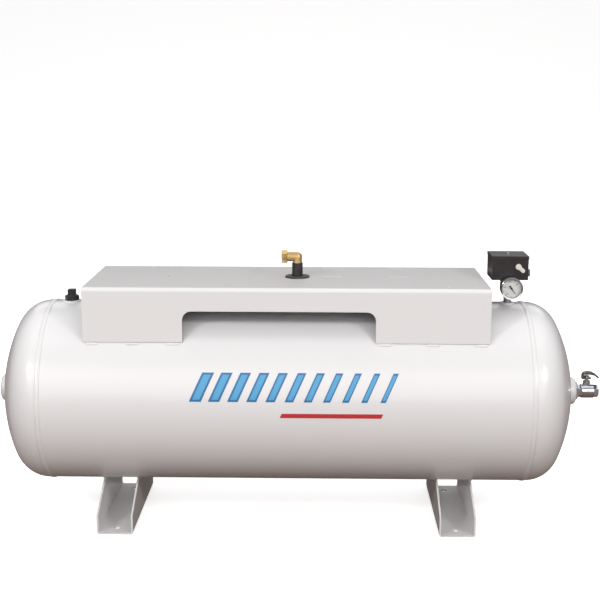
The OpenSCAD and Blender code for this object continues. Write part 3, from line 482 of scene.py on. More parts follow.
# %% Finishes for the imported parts
FINISHES = {
    tank_paint: ("tank_shell", "head_left", "head_right", "seam_welds", "fillet_welds", "foot_left",
                 "foot_right", "head_couplings", "inch_couplings", "control_coupling", "drain_coupling"),
    # this platform paint carries the painted shade beneath the deck
    platform_paint_and_shade: ("mounting_platform",),
    galvanised: ("inspection_plug", "outlet_bushing", "control_nipple"),
    black_paint: ("service_bushing", "service_plug", "switch_base"),
    black_iron: ("check_valve_body",),
    polished_chrome: ("valve_body", "valve_end_piece", "valve_ball", "gauge_bezel"),
    zinc_plate: ("valve_gland_nut", "valve_lever_nut", "switch_cover_screw"),
    lever_chrome_painted_dark: ("valve_lever",),
    drawn_steel: ("valve_stem", "check_valve_spring", "switch_spring", "safety_spring", "safety_stem",
                  "safety_ring"),
    turned_brass: ("inlet_nut", "inlet_ferrule", "control_manifold", "manifold_plugs", "safety_body",
                   "safety_cap", "drain_cock_key", "gauge_socket", "gauge_sector"),
    cast_brass: ("inlet_elbow", "safety_elbow", "drain_elbow", "drain_cock_body", "gauge_tube"),
    seat_plastic: ("valve_seats", "valve_packing"),
    disc_plastic: ("check_valve_disc",),
    seal_rubber: ("platform_grommet", "switch_diaphragm"),
    phenolic: ("switch_contact_block",),
    cover_plastic: ("switch_cover",),
    lever_plastic: ("switch_lever",),
    grey_plastic: ("switch_gland",),
    case_paint: ("gauge_case",),
    dial_white: ("gauge_dial",),
    lens_acrylic: ("gauge_lens",),
    dial_ink: ("gauge_pointer",),
}
finish_of = {node: material for material, nodes in FINISHES.items() for node in nodes}
for node, thing in frame["nodes"].items():
    thing.data.materials.clear()
    thing.data.materials.append(finish_of[node])
print("finished parts:", len(finish_of))

# %% [markdown]
# ## Floor finish and light
# The floor is a pale matt sheet. What the tank mirrors is another matter: in a studio
# the floor outside the lit patch is dark and warm, and it is what gives the tank's
# underside its brown shade. A Light Path node shows the pale sheet to the camera and
# the dark one to every other ray. The key is a long soft box in front and above, so
# the light falls off evenly down the tank, and two small squares mark its ends.

# %% Floor finish and light
def floor_finish():
    material, tree, shader, place = start_material("pale_floor")
    tone = noise(tree, place, 0.6, 3.0)
    pale = blend_colour(tree, tone, (0.93, 0.93, 0.925), (0.91, 0.91, 0.905))
    seen = tree.nodes.new("ShaderNodeLightPath").outputs["Is Camera Ray"]
    feed(tree, shader, {"Base Color": blend_colour(tree, seen, (0.15, 0.095, 0.072), pale), "Roughness": 0.7,
                        "Emission Color": blend_colour(tree, seen, (0, 0, 0), (1, 1, 1)),
                        "Emission Strength": 0.63})
    return material


floor.data.materials.append(floor_finish())
scene.view_settings.view_transform = "Standard"


def lamp(name, place, target, size, power, colour=(1, 1, 1)):
    data = bpy.data.lights.new(name, "AREA")
    data.shape = "RECTANGLE"
    data.size, data.size_y = size
    data.energy = power
    data.color = colour
    thing = new_object(name, data)
    thing.location = place
    thing.rotation_euler = (Vector(target) - Vector(place)).to_track_quat("-Z", "Y").to_euler()


heart = (0, 0, axis.z)
lamp("overhead", (0, 0.3, 3.4), heart, (6.0, 3.2), 46)
lamp("key", (0, -4.3, 1.95), heart, (7.0, 3.0), 116, (1.0, 0.99, 0.985))
lamp("left_square", (-2.3, -2.7, 2.35), (-0.6, 0, axis.z), (0.7, 0.5), 40)
lamp("right_square", (2.5, -2.7, 2.35), (0.6, 0, axis.z), (0.7, 0.5), 40)
lamp("behind", (0, 3.8, 2.6), (0, 2.6, 0), (6.0, 2.0), 50)


def room_light():
    # bright above, dimmer at eye level, so bare metal has something to mirror
    world = bpy.data.worlds.new("room")
    world.use_nodes = True
    tree = world.node_tree
    direction = tree.nodes.new("ShaderNodeTexCoord").outputs["Generated"]
    height = separate(tree, direction)["Z"]
    sky = blend_colour(tree, spread(tree, height, -0.05, 0.55), (0.32, 0.32, 0.33), (0.93, 0.94, 0.96))
    seen = tree.nodes.new("ShaderNodeLightPath").outputs["Is Camera Ray"]
    feed(tree, tree.nodes["Background"], {"Color": blend_colour(tree, seen, sky, (1, 1, 1)),
                                          "Strength": spread(tree, seen, 0.0, 1.0, 0.42, 1.0)})
    return world


scene.world = room_light()

# %% [markdown]
# ## Pressed heads
# The heads are dished ends, pressed from round plate: a wide crown arc that runs into
# a tight knuckle, then a short straight flange. On such a glossy curve every flat
# facet would show, so they are turned afresh from their two true arcs, with even rings
# and many steps, and shaded smooth. The arcs follow from the tank's diameter, as the
# standard for these heads sets them, and the hole takes the port's own radius.

# %% Pressed heads
CROWN_SHARE, KNUCKLE_SHARE = 0.9, 0.17
CROWN_RINGS, KNUCKLE_RINGS, TURN_STEPS = 28, 20, 256
head_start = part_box("head_right")[0].x
port_low, port_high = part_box("head_couplings")
port_radius = (port_high.z - port_low.z) / 2 + 0.2 * MM
wall = 4.8 * MM


def head_profile(inset):
    # (distance along the axis, radius) from the port's edge to the girth weld
    crown, knuckle = CROWN_SHARE * 2 * radius, KNUCKLE_SHARE * 2 * radius
    drop = math.sqrt((crown - knuckle) ** 2 - (radius - knuckle) ** 2)
    base = tank_end - (crown - drop)
    meet = math.asin(drop / (crown - knuckle))
    start = math.acos(port_radius / (crown - inset))
    points = []
    for i in range(CROWN_RINGS + 1):
        a = start + (meet - start) * i / CROWN_RINGS
        points.append((base - drop + (crown - inset) * math.sin(a), (crown - inset) * math.cos(a)))
    for i in range(1, KNUCKLE_RINGS + 1):
        a = meet * (1 - i / KNUCKLE_RINGS)
        bend = knuckle - inset
        points.append((base + bend * math.sin(a), radius - knuckle + bend * math.cos(a)))
    points.append((head_start, radius - inset))
    return points


def outward(thing):
    # turns every face outwards, and keeps edges sharper than 40 degrees crisp
    work = bmesh.new()
    work.from_mesh(thing.data)
    bmesh.ops.recalc_face_normals(work, faces=work.faces)
    for edge in work.edges:
        edge.smooth = edge.calc_face_angle(0) < math.radians(40)
    work.to_mesh(thing.data)
    work.free()
    return thing


def turned(name, outline, side):
    # a closed outline of (along, radius) pairs, turned about the tank's axis
    verts = []
    for k in range(TURN_STEPS):
        a = 2 * math.pi * k / TURN_STEPS
        verts += [(side * x, axis.y + r * math.cos(a), axis.z + r * math.sin(a)) for x, r in outline]
    n = len(outline)
    faces = []
    for k in range(TURN_STEPS):
        here, there = k * n, (k + 1) % TURN_STEPS * n
        faces += [(here + i, here + (i + 1) % n, there + (i + 1) % n, there + i) for i in range(n)]
    return outward(mesh_object(name, verts, faces, smooth=True))


def hand_over(thing, material=None, stands_for=None):
    # the piece's finish, the body it rides on and, if any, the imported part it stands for
    if material:
        thing.data.materials.clear()
        thing.data.materials.append(material)
    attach(thing, "tank")
    if stands_for:
        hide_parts(stands_for)


for node, side in (("head_left", -1), ("head_right", 1)):
    outline = head_profile(0) + list(reversed(head_profile(wall)))
    hand_over(turned(node + "_pressed", outline, side), tank_paint, node)
print("head rings:", len(outline), "port radius", round(port_radius, 4))

# %% [markdown]
# ## Softened edges
# A sawn, bent or moulded edge is never sharp: it has a small radius that catches a
# line of light. Each of these parts is copied, its triangles are merged back into
# flat faces, and a narrow bevel rounds the edges. The copy then stands for the
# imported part, whose own mesh stays as it was.

# %% Softened edges
SMOOTH_BELOW = math.radians(32)


def apply_modifiers(thing):
    graph = bpy.context.evaluated_depsgraph_get()
    mesh = bpy.data.meshes.new_from_object(thing.evaluated_get(graph))
    thing.modifiers.clear()
    thing.data = mesh
    return thing


def soften(node, width):
    source = frame["nodes"][node]
    mesh = source.data.copy()
    mesh.name = node + "_finish"
    work = bmesh.new()
    work.from_mesh(mesh)
    bmesh.ops.remove_doubles(work, verts=work.verts, dist=0.00001)
    bmesh.ops.dissolve_limit(work, angle_limit=math.radians(0.6), verts=work.verts, edges=work.edges)
    work.to_mesh(mesh)
    work.free()
    if "custom_normal" in mesh.attributes:
        mesh.attributes.remove(mesh.attributes["custom_normal"])
    thing = new_object(node + "_finish", mesh)
    bevel = thing.modifiers.new("edge", "BEVEL")
    bevel.width = width
    bevel.segments = 2
    bevel.limit_method = "ANGLE"
    bevel.angle_limit = SMOOTH_BELOW
    bevel.use_clamp_overlap = True
    bevel.miter_outer = "MITER_ARC"
    bevel.harden_normals = True
    apply_modifiers(thing)
    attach(thing, source["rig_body"])
    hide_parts(node)
    return thing


SOFT_EDGES = {
    "mounting_platform": 0.9, "foot_left": 0.9, "foot_right": 0.9, "control_manifold": 0.8,
    "switch_cover": 2.2, "switch_base": 0.8, "switch_lever": 1.0, "valve_lever": 0.8,
    "valve_body": 0.5, "valve_end_piece": 0.5, "service_plug": 0.7, "drain_cock_key": 0.5,
}
for node, width in SOFT_EDGES.items():
    piece = soften(node, width * MM)
    print(piece.name, "faces:", len(piece.data.polygons))

# %% [markdown]
# ## Weld beads
# A hand-laid bead looks like a row of overlapping coins: each ripple is a crescent
# where the puddle froze. The bead follows a path on the steel, so Geometry Nodes
# suit it. A grid is wrapped round the sampled path as a flat tube, and a saw-tooth
# along the path, bent back towards the edges, raises the ripples. Width, height and
# pitch are inputs, so one tree serves every seam.

# %% Geometry Nodes: what every tree begins and ends with
def new_tree(name, **inputs):
    tree = bpy.data.node_groups.new(name, "GeometryNodeTree")
    for side in ("INPUT", "OUTPUT"):
        tree.interface.new_socket("Geometry", in_out=side, socket_type="NodeSocketGeometry")
    add_inputs(tree, {**inputs, "Material": None})
    return tree, tree.nodes.new("NodeGroupInput").outputs, tree.nodes.new("NodeGroupOutput").inputs


def finish_tree(tree, out, shape, material):
    solid = put(tree, "GeometryNodeRealizeInstances", {"Geometry": shape}).outputs[0]
    painted = put(tree, "GeometryNodeSetMaterial", {"Geometry": solid, "Material": material}).outputs[0]
    tree.links.new(painted, out["Geometry"])
    return tree


def geometry(tree, kind, inputs=None, **settings):
    return put(tree, "GeometryNode" + kind, inputs, **settings).outputs[0]

# %% Geometry Nodes: weld bead
def weld_tree():
    tree, given, out = new_tree("weld_bead", Width=0.008, Height=0.002, Sink=0.001, Pitch=0.004, Ripple=0.35,
                                Wander=0.12, End_Taper=0.006)
    path = geometry(tree, "MeshToCurve", {"Mesh": given["Geometry"]})
    length = geometry(tree, "CurveLength", {"Curve": path})
    rings = maths(tree, "CEIL", times(tree, maths(tree, "DIVIDE", length, given["Pitch"]), 4.0))
    grid = geometry(tree, "MeshGrid", {"Size X": 1.0, "Size Y": 1.0, "Vertices X": rings, "Vertices Y": 15})
    here = separate(tree, geometry(tree, "InputPosition"))
    along = plus(tree, here["X"], 0.5)
    turn = times(tree, here["Y"], 2 * math.pi)
    across, rise = maths(tree, "COSINE", turn), maths(tree, "SINE", turn)
    travel = times(tree, along, length)
    up_name = geometry(tree, "InputNamedAttribute", {"Name": "up"}, data_type="FLOAT_VECTOR")
    sample = put(tree, "GeometryNodeSampleCurve", {"Curves": path, "Factor": along}, mode="FACTOR",
                 use_all_curves=True, data_type="FLOAT_VECTOR")
    tree.links.new(up_name, sample.inputs["Value"])
    value, position, tangent = (sample.outputs[name] for name in ("Value", "Position", "Tangent"))
    up = vector_maths(tree, "NORMALIZE", value)
    side = vector_maths(tree, "NORMALIZE", vector_maths(tree, "CROSS_PRODUCT", up, tangent))
    bend = times(tree, across, across, 0.9)
    phase = plus(tree, maths(tree, "DIVIDE", travel, given["Pitch"]), bend)
    ripple = maths(tree, "SUBTRACT", 1.0, times(tree, maths(tree, "FRACT", phase), given["Ripple"]))
    wander = spread(tree, noise(tree, position, 45.0, 2.0), 0.3, 0.7, -1.0, 1.0)
    size = plus(tree, 1.0, times(tree, wander, given["Wander"]))
    from_end = maths(tree, "MINIMUM", travel, maths(tree, "SUBTRACT", length, travel))
    near_end = maths(tree, "DIVIDE", from_end, given["End Taper"])
    taper = maths(tree, "SQRT", spread(tree, near_end, 0.0, 1.0))
    top = times(tree, maths(tree, "MAXIMUM", rise, 0.0), given["Height"], ripple)
    low = times(tree, maths(tree, "MINIMUM", rise, 0.0), given["Sink"])
    lift = times(tree, plus(tree, top, low), size, taper)
    reach = times(tree, times(tree, across, given["Width"], 0.5), times(tree, size, taper))
    offset = vector_maths(tree, "ADD", scaled(tree, side, reach), scaled(tree, up, lift))
    place = vector_maths(tree, "ADD", position, offset)
    bead = geometry(tree, "SetPosition", {"Geometry": grid, "Position": place})
    joined = geometry(tree, "MergeByDistance", {"Geometry": bead, "Distance": 0.00005})
    smooth = geometry(tree, "SetShadeSmooth", {"Geometry": joined, "Shade Smooth": True})
    return finish_tree(tree, out, smooth, given["Material"])


weld_bead = weld_tree()

# %% Grow a bead along a path
def grow(thing, tree, **inputs):
    # runs a Geometry Nodes tree on an object and leaves its result as a plain mesh
    modifier = thing.modifiers.new(tree.name, "NODES")
    modifier.node_group = tree
    known = {item.name: item.identifier for item in tree.interface.items_tree if item.in_out == "INPUT"}
    for key, value in inputs.items():
        modifier[known[key.replace("_", " ")]] = value
    return apply_modifiers(thing)


def path_object(name, points, ups):
    mesh = bpy.data.meshes.new(name)
    mesh.from_pydata([tuple(p) for p in points], [(i, i + 1) for i in range(len(points) - 1)], [])
    attribute = mesh.attributes.new("up", "FLOAT_VECTOR", "POINT")
    for i, up in enumerate(ups):
        attribute.data[i].vector = up
    return new_object(name, mesh)


def join(name, things):
    work = bmesh.new()
    for thing in things:
        work.from_mesh(thing.data)
        bpy.data.objects.remove(thing)
    bmesh.ops.recalc_face_normals(work, faces=work.faces)
    mesh = bpy.data.meshes.new(name)
    work.to_mesh(mesh)
    work.free()
    return new_object(name, mesh)


def bead_along(points, ups, width, height, **more):
    # sizes are in millimetres
    thing = path_object("bead", points, ups)
    settings = {"Width": width * MM, "Height": height * MM, "Material": weld_paint}
    settings.update({key: value * MM if key in ("Pitch", "Sink", "End_Taper") else value
                     for key, value in more.items()})
    return grow(thing, weld_bead, **settings)


weld_paint = paint("weld_enamel", TANK_WHITE, TANK_SHADE, 0.26, 0.25, peel=0.9, depth=0.0002, dust=0.08)


def on_shell(x, angle, out=0.0):
    # a point on the shell: the angle runs from the back over the top to the front
    a = math.radians(angle)
    return Vector((x, axis.y + (radius + out) * math.cos(a), axis.z + (radius + out) * math.sin(a)))


def out_of_shell(angle):
    a = math.radians(angle)
    return Vector((0, math.cos(a), math.sin(a)))

# %% [markdown]
# ## Girth and long seams
# Two beads join the heads to the shell, laid by machine, so they are wide, flat and
# even. A third closes the rolled sheet along the back.

# %% Girth and long seams
GIRTH_STEPS = 180
full_circle = [360 * i / GIRTH_STEPS for i in range(GIRTH_STEPS + 1)]
seams = [bead_along([on_shell(side * seam_x, a) for a in full_circle], [out_of_shell(a) for a in full_circle],
                    13, 2.0, Pitch=4.5, Ripple=0.32, Wander=0.06, Sink=1.0, End_Taper=0.01)
         for side in (-1, 1)]
LONG_SEAM_ANGLE = -35
reach = seam_x - 12 * MM
seams.append(bead_along([on_shell(-reach, LONG_SEAM_ANGLE), on_shell(reach, LONG_SEAM_ANGLE)],
                        [out_of_shell(LONG_SEAM_ANGLE)] * 2, 9, 1.6, Pitch=4.0, Ripple=0.25, Wander=0.06))
seam_beads = join("seam_beads", seams)
hand_over(seam_beads, weld_paint, "seam_welds")
print("seam beads:", len(seam_beads.data.polygons), "faces")

# %% [markdown]
# ## Fillet beads
# These are laid by hand in the corners: along each saddle's cradle, in short
# stitches under the platform's skirts, and round the ports. In a corner the bead's
# middle faces out between both plates, so its "up" is the sum of their normals.

# %% Paths of the fillet beads
CRADLE_HALF = 70 * MM
STITCH_HALF = 19 * MM
RING = [math.radians(360 * i / 48) for i in range(49)]


def cradle_paths():
    for foot in ("foot_left", "foot_right"):
        low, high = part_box(foot)
        wide = math.degrees(math.asin(CRADLE_HALF / radius)) - 1
        angles = [-90 - wide + 2 * wide * i / 24 for i in range(25)]
        for x, side in ((low.x, -1), (high.x, 1)):
            yield ([on_shell(x + side * 1.5 * MM, a, 1.5 * MM) for a in angles],
                   [out_of_shell(a) + Vector((side, 0, 0)) for a in angles])


def stitch_paths():
    half = plate_high.y
    z = axis.z + math.sqrt(radius ** 2 - half ** 2) + 0.4 * MM
    for x in stitch_middles:
        for side in (-1, 1):
            y = side * (half + 1.2 * MM)
            up = Vector((0, side * 1.1, 0.35))
            yield [Vector((x - STITCH_HALF, y, z)), Vector((x + STITCH_HALF, y, z))], [up, up]


def port_paths():
    for node, index in (("inch_couplings", -1), ("inch_couplings", 1), ("control_coupling", 0)):
        low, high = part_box(node)
        r = (high.y - low.y) / 2
        x = {-1: low.x + r, 0: (low.x + high.x) / 2, 1: high.x - r}[index]
        points, ups = [], []
        for a in RING:
            spoke = Vector((math.cos(a), math.sin(a), 0))
            flat = spoke * (r + 1.2 * MM)
            drop = math.sqrt(radius ** 2 - flat.y ** 2)
            points.append(Vector((x + flat.x, flat.y, axis.z + drop + 1.0 * MM)))
            ups.append(spoke + Vector((0, flat.y / radius, 1.0)))
        yield points, ups
    low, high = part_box("head_couplings")
    r = (high.z - low.z) / 2
    for side in (-1, 1):
        spokes = [Vector((0, math.cos(a), math.sin(a))) for a in RING]
        centre = Vector((side * (tank_end - 1.0 * MM), 0, axis.z))
        yield ([centre + spoke * (r + 2.2 * MM) for spoke in spokes],
               [spoke + Vector((side, 0, 0)) for spoke in spokes])

# %% Find the stitches
def node_islands(node):
    # the middle and the size of each of a node's separate solids
    work = bmesh.new()
    work.from_mesh(frame["nodes"][node].data)
    bmesh.ops.remove_doubles(work, verts=work.verts, dist=0.00001)
    seen, found = set(), []
    for start in work.verts:
        if start in seen:
            continue
        island = [start]
        seen.add(start)
        for vert in island:  # the list grows while it is read
            fresh = {edge.other_vert(vert) for edge in vert.link_edges} - seen
            seen |= fresh
            island += fresh
        low, high = (Vector([pick(v.co[i] for v in island) for i in range(3)]) for pick in (min, max))
        found.append(((low + high) / 2, high - low))
    work.free()
    return found


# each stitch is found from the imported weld's own loose pieces beside the skirts
PACKED_STITCH, NEAR = 42 * MM, 2 * MM
stitch_middles = sorted({round(m.x, 4) for m, size in node_islands("fillet_welds")
                         if m.z > axis.z and abs(abs(m.y) - plate_high.y) < 20 * MM
                         and abs(size.x - PACKED_STITCH) < NEAR})
print("stitches at", stitch_middles)

# %% Lay the fillet beads
fillets = []
for paths, sizes, settings in ((cradle_paths, (9, 2.8), {"Pitch": 3.6, "Sink": 3.5, "End_Taper": 7}),
                               (stitch_paths, (8, 2.6), {"Pitch": 3.4, "Sink": 3.0, "End_Taper": 6}),
                               (port_paths, (8, 2.6), {"Pitch": 3.2, "Sink": 3.0, "End_Taper": 0.01})):
    fillets += [bead_along(points, ups, *sizes, **settings) for points, ups in paths()]
fillet_beads = join("fillet_beads", fillets)
hand_over(fillet_beads, weld_paint, "fillet_welds")
print("fillet beads:", len(fillets), "paths,", len(fillet_beads.data.polygons), "faces")

# %% [markdown]
# ## Printed bars on the front
# The maker's side of such a tank carries a large print. Here it is a plain pattern:
# slanted blue bars over one thin red line. Geometry Nodes lay the bars out flat, lean
# them, and then wrap the whole layout round the shell a hair above the paint.

# %% Printed bars on the front
def bars_tree():
    tree, given, out = new_tree("printed_bars", Count=9, Length=0.5, Bar_Width=0.03, Bar_Height=0.09,
                                Lean=0.35, Shrink=0.0, Shell_Radius=0.25, Lift=0.0003,
                                Shell_Axis=(0, 0, 0), Offset=(0, 0, 0))
    half = times(tree, given["Length"], 0.5)
    ends = {"Start Location": combine(tree, times(tree, half, -1.0)), "Offset": combine(tree, half)}
    row = geometry(tree, "MeshLine", {"Count": given["Count"], **ends}, mode="END_POINTS")
    bar = geometry(tree, "MeshGrid", {"Size X": given["Bar Width"], "Size Y": given["Bar Height"],
                                      "Vertices X": 6, "Vertices Y": 24})
    index = geometry(tree, "InputIndex")
    scale = maths(tree, "SUBTRACT", 1.0, times(tree, index, given["Shrink"]))
    bars = geometry(tree, "InstanceOnPoints", {"Points": row, "Instance": bar,
                                               "Scale": combine(tree, scale, 1.0, 1.0)})
    flat = geometry(tree, "RealizeInstances", {"Geometry": bars})
    here = separate(tree, vector_maths(tree, "ADD", geometry(tree, "InputPosition"), given["Offset"]))
    x = plus(tree, here["X"], times(tree, here["Y"], given["Lean"]))
    angle = maths(tree, "DIVIDE", here["Y"], given["Shell Radius"])
    out_to = plus(tree, given["Shell Radius"], given["Lift"])
    y = times(tree, maths(tree, "COSINE", angle), out_to, -1.0)
    z = times(tree, maths(tree, "SINE", angle), out_to)
    wrapped = vector_maths(tree, "ADD", combine(tree, x, y, z), given["Shell Axis"])
    placed = geometry(tree, "SetPosition", {"Geometry": flat, "Position": wrapped})
    thick = geometry(tree, "ExtrudeMesh", {"Mesh": placed, "Offset Scale": 0.00012, "Individual": False})
    closed = tree.nodes.new("GeometryNodeJoinGeometry")
    tree.links.new(thick, closed.inputs[0])
    tree.links.new(geometry(tree, "FlipFaces", {"Mesh": placed}), closed.inputs[0])
    whole = geometry(tree, "MergeByDistance", {"Geometry": closed.outputs[0], "Distance": 0.00001})
    return finish_tree(tree, out, whole, given["Material"])


printed_bars = bars_tree()


def print_piece(name, material, **inputs):
    thing = mesh_object(name, [(0, 0, 0)], [])
    grow(thing, printed_bars, Shell_Radius=radius, Shell_Axis=(0, axis.y, axis.z), Material=material,
         **inputs)
    hand_over(thing)


PRINT_LOW, PRINT_HIGH, BAR_HEIGHT = -17 * MM, 110 * MM, 78 * MM
BARS = {"Count": 11, "Length": 0.50, "Lean": 0.45, "Shrink": 0.055,
        "Offset": (-5 * MM, PRINT_HIGH - BAR_HEIGHT / 2, 0)}
print_piece("print_blue", blue_print, Bar_Width=32 * MM, Bar_Height=BAR_HEIGHT, **BARS)
print_piece("print_sky", sky_print, Bar_Width=19 * MM, Bar_Height=BAR_HEIGHT - 11 * MM, Lift=0.45 * MM,
            **BARS)
print_piece("print_red", red_print, Count=1, Length=0.0, Bar_Width=0.27, Bar_Height=12 * MM, Lean=0.45,
            Offset=(0.125, PRINT_LOW + 12 * MM, 0))
print("bars:", BARS["Count"], "over", BARS["Length"], "m")

# %% [markdown]
# ## Gauge face
# A dial is read by its ticks, so they are laid out by rule: one tick per small
# division on a 270 degree arc, every fifth one long. Geometry Nodes place a flat bar on
# each point of an arc, turned to face the middle and stretched where its index is a
# multiple of five. The numbers are text objects, made meshes before they are placed.

# %% Geometry Nodes: dial ticks
def ticks_tree():
    tree, given, out = new_tree("dial_ticks", Count=41, Every=5, Radius=0.022, Start_Angle=-0.9, Sweep=-4.7,
                                Long=0.004, Short=0.002, Thick=0.0004, Centre=(0, 0, 0))
    row = geometry(tree, "MeshLine", {"Count": given["Count"]})
    index = geometry(tree, "InputIndex")
    share = maths(tree, "DIVIDE", index, maths(tree, "SUBTRACT", given["Count"], 1.0))
    angle = plus(tree, given["Start Angle"], times(tree, given["Sweep"], share))
    major = maths(tree, "LESS_THAN", maths(tree, "MODULO", index, given["Every"]), 0.5)
    extra = maths(tree, "SUBTRACT", given["Long"], given["Short"])
    reach = plus(tree, given["Short"], times(tree, major, extra))
    inner = maths(tree, "SUBTRACT", given["Radius"], times(tree, reach, 0.5))
    spot = combine(tree, x=times(tree, maths(tree, "COSINE", angle), inner),
                   z=times(tree, maths(tree, "SINE", angle), inner))
    placed = geometry(tree, "SetPosition",
                      {"Geometry": row, "Position": vector_maths(tree, "ADD", spot, given["Centre"])})
    wide = times(tree, given["Thick"], plus(tree, 1.0, times(tree, major, 0.7)))
    bars = geometry(tree, "InstanceOnPoints", {
        "Points": placed, "Instance": geometry(tree, "MeshCube", {"Size": (1, 1, 1)}),
        "Rotation": combine(tree, y=times(tree, angle, -1.0)), "Scale": combine(tree, reach, 0.00012, wide)})
    return finish_tree(tree, out, bars, given["Material"])


dial_ticks = ticks_tree()
dial_low, dial_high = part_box("gauge_dial")
dial_middle = middle("gauge_dial")
dial_radius = (dial_high.x - dial_low.x) / 2
dial_front = dial_low.y
ZERO_ANGLE = math.radians(-54)
FULL_SWEEP = math.radians(-270)

ticks = mesh_object("dial_scale", [(0, 0, 0)], [])
grow(ticks, dial_ticks, Count=41, Every=5, Radius=dial_radius - 1.6 * MM, Start_Angle=ZERO_ANGLE,
     Sweep=FULL_SWEEP, Long=4.2 * MM, Short=2.4 * MM, Thick=0.42 * MM,
     Centre=(dial_middle.x, dial_front - 0.04 * MM, dial_middle.z), Material=dial_ink)

# %% Dial numbers
def number_mesh(text, height, place):
    data = bpy.data.curves.new("number_" + text, "FONT")
    data.body = text
    data.size = height
    data.align_x = data.align_y = "CENTER"
    data.extrude = 0.04 * MM
    flat = new_object("number_" + text, data)
    bpy.context.view_layer.update()
    mesh = bpy.data.meshes.new_from_object(flat.evaluated_get(bpy.context.evaluated_depsgraph_get()))
    bpy.data.objects.remove(flat)
    mesh.transform(Matrix.Translation(place) @ Matrix.Rotation(math.radians(90), 4, "X"))
    return new_object("number_" + text, mesh)


NUMBER_COUNT, NUMBER_STEP = 5, 50
number_ring = dial_radius - 9.4 * MM
numbers = []
for step in range(NUMBER_COUNT):
    angle = ZERO_ANGLE + FULL_SWEEP * step / (NUMBER_COUNT - 1)
    place = Vector((dial_middle.x + number_ring * math.cos(angle), dial_front - 0.05 * MM,
                    dial_middle.z + number_ring * math.sin(angle)))
    numbers.append(number_mesh(str(NUMBER_STEP * step), 5.0 * MM, place))
dial_print = join("dial_print", [ticks] + numbers)
hand_over(dial_print, dial_ink)
print("dial print:", len(dial_print.data.polygons), "faces")

# %% [markdown]
# ## Pipe thread
# The nipple under the control block shows its thread. A pipe thread is a V swept along
# a helix; Geometry Nodes draw the helix and sweep a small closed V along it. The tube
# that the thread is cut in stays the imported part.

# %% Geometry Nodes: pipe thread
def thread_tree():
    tree, given, out = new_tree("pipe_thread", Radius=0.01, Height=0.01, Pitch=0.0018, Depth=0.0008,
                                Base=(0, 0, 0))
    turns = maths(tree, "DIVIDE", given["Height"], given["Pitch"])
    helix = geometry(tree, "CurveSpiral", {
        "Resolution": 40, "Rotations": turns, "Start Radius": given["Radius"], "End Radius": given["Radius"],
        "Height": given["Height"]})
    profile = geometry(tree, "CurvePrimitiveCircle", {"Resolution": 4, "Radius": given["Depth"]})
    swept = geometry(tree, "CurveToMesh", {"Curve": helix, "Profile Curve": profile, "Fill Caps": True})
    placed = geometry(tree, "Transform", {"Geometry": swept, "Translation": given["Base"]})
    return finish_tree(tree, out, placed, given["Material"])


pipe_thread = thread_tree()
THREAD_DEPTH, THREAD_PITCH = 0.55 * MM, 1.8 * MM
port_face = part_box("control_coupling")[1].z + 0.6 * MM
block_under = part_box("control_manifold")[0].z - 0.8 * MM
nipple_low, nipple_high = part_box("control_nipple")
nipple = middle("control_nipple")
nipple_thread = mesh_object("nipple_thread", [(0, 0, 0)], [])
grow(nipple_thread, pipe_thread, Radius=(nipple_high.x - nipple_low.x) / 2 - 0.25 * THREAD_DEPTH,
     Height=block_under - port_face, Pitch=THREAD_PITCH, Depth=THREAD_DEPTH,
     Base=(nipple.x, nipple.y, port_face), Material=galvanised)
hand_over(nipple_thread)
print("nipple thread:", round((block_under - port_face) / THREAD_PITCH, 1), "turns")

# %% [markdown]
# ## Data plate
# A pressure vessel carries a riveted plate with its ratings. Its text is left out, so
# this one is blank, with only a raised border. It sits on the back of the shell, bent
# to the same radius, and Geometry Nodes put a dome rivet at each corner.

# %% Geometry Nodes: rivets
def rivets_tree():
    tree, given, out = new_tree("dome_rivets", Radius=0.002, Flatness=0.55)
    dome = geometry(tree, "MeshUVSphere", {"Segments": 20, "Rings": 12, "Radius": given["Radius"]})
    smooth = geometry(tree, "SetShadeSmooth", {"Geometry": dome, "Shade Smooth": True})
    normal = geometry(tree, "InputNormal")
    lean = put(tree, "FunctionNodeAlignRotationToVector", {"Vector": normal}, axis="Z").outputs[0]
    heads = geometry(tree, "InstanceOnPoints", {
        "Points": given["Geometry"], "Instance": smooth, "Rotation": lean,
        "Scale": combine(tree, 1.0, 1.0, given["Flatness"])})
    return finish_tree(tree, out, heads, given["Material"])


dome_rivets = rivets_tree()

# %% Data plate
PLATE_X, PLATE_ANGLE = -0.30, 6
HALF_WIDE, HALF_TALL, PLATE_THICK = 63 * MM, 39 * MM, 0.8 * MM
BORDER, LIP = 4.5 * MM, 0.35 * MM


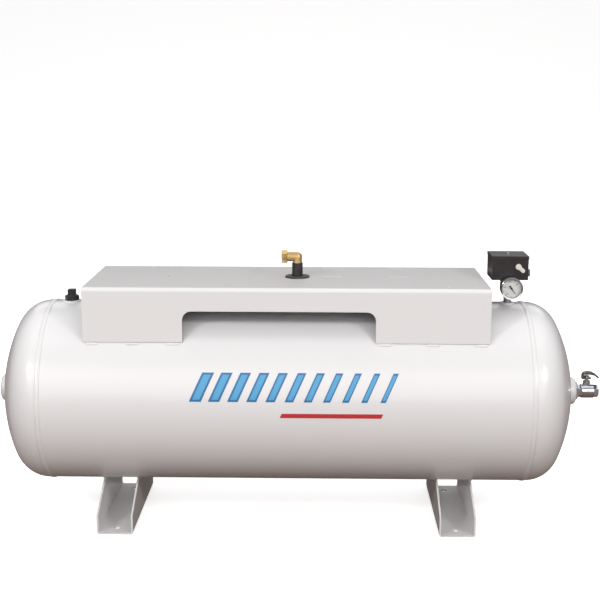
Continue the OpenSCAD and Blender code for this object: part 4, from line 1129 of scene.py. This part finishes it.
def plate_point(u, v, out):
    # u and v run over the plate in metres, u along the tank and v upwards on the back
    return on_shell(PLATE_X + u, PLATE_ANGLE + math.degrees(v / radius), out)


def data_plate():
    def edge_lines(half):
        return [-half, -half + BORDER, -half + BORDER + 1 * MM]

    def face_height(u, v):
        on_border = abs(u) > HALF_WIDE - BORDER - 0.1 * MM or abs(v) > HALF_TALL - BORDER - 0.1 * MM
        return PLATE_THICK + (LIP if on_border else 0)

    across, rise = edge_lines(HALF_WIDE), edge_lines(HALF_TALL)
    inner = [rise[-1] * (1 - 2 * i / 12) for i in range(1, 12)]
    across += [-u for u in reversed(across)]
    rise = rise + inner + [-v for v in reversed(rise)]
    columns, rows = len(across), len(rise)
    verts = [plate_point(u, v, face_height(u, v)) for v in rise for u in across]
    verts += [plate_point(u, v, -0.1 * MM) for v in rise for u in across]
    faces = []
    under = columns * rows
    for r in range(rows - 1):
        for c in range(columns - 1):
            a = r * columns + c
            faces.append((a, a + columns, a + columns + 1, a + 1))
            faces.append((under + a, under + a + 1, under + a + columns + 1, under + a + columns))
    rim = list(range(columns)) + [(r + 1) * columns - 1 for r in range(1, rows)]
    rim += [under - 1 - c for c in range(1, columns)] + [r * columns for r in range(rows - 2, 0, -1)]
    faces += [(a, b, under + b, under + a) for a, b in zip(rim, rim[1:] + rim[:1])]
    return outward(mesh_object("data_plate", verts, faces))


plate_steel = metal("brushed_plate", (0.62, 0.62, 0.60), (0.48, 0.48, 0.47), 0.3, 0.15, (1, 12, 12), 300)
hand_over(data_plate(), plate_steel)


def corner_points():
    # one quad through the four corners, facing outwards, gives the rivets place and lean
    u, v = HALF_WIDE - 6 * MM, HALF_TALL - 6 * MM
    corners = [plate_point(a * u, b * v, PLATE_THICK) for a, b in ((-1, -1), (-1, 1), (1, 1), (1, -1))]
    return mesh_object("plate_rivets", corners, [(0, 1, 2, 3)])


rivets = corner_points()
grow(rivets, dome_rivets, Radius=2.4 * MM, Material=zinc_plate)
hand_over(rivets)
print("plate rivets:", len(rivets.data.polygons), "faces")
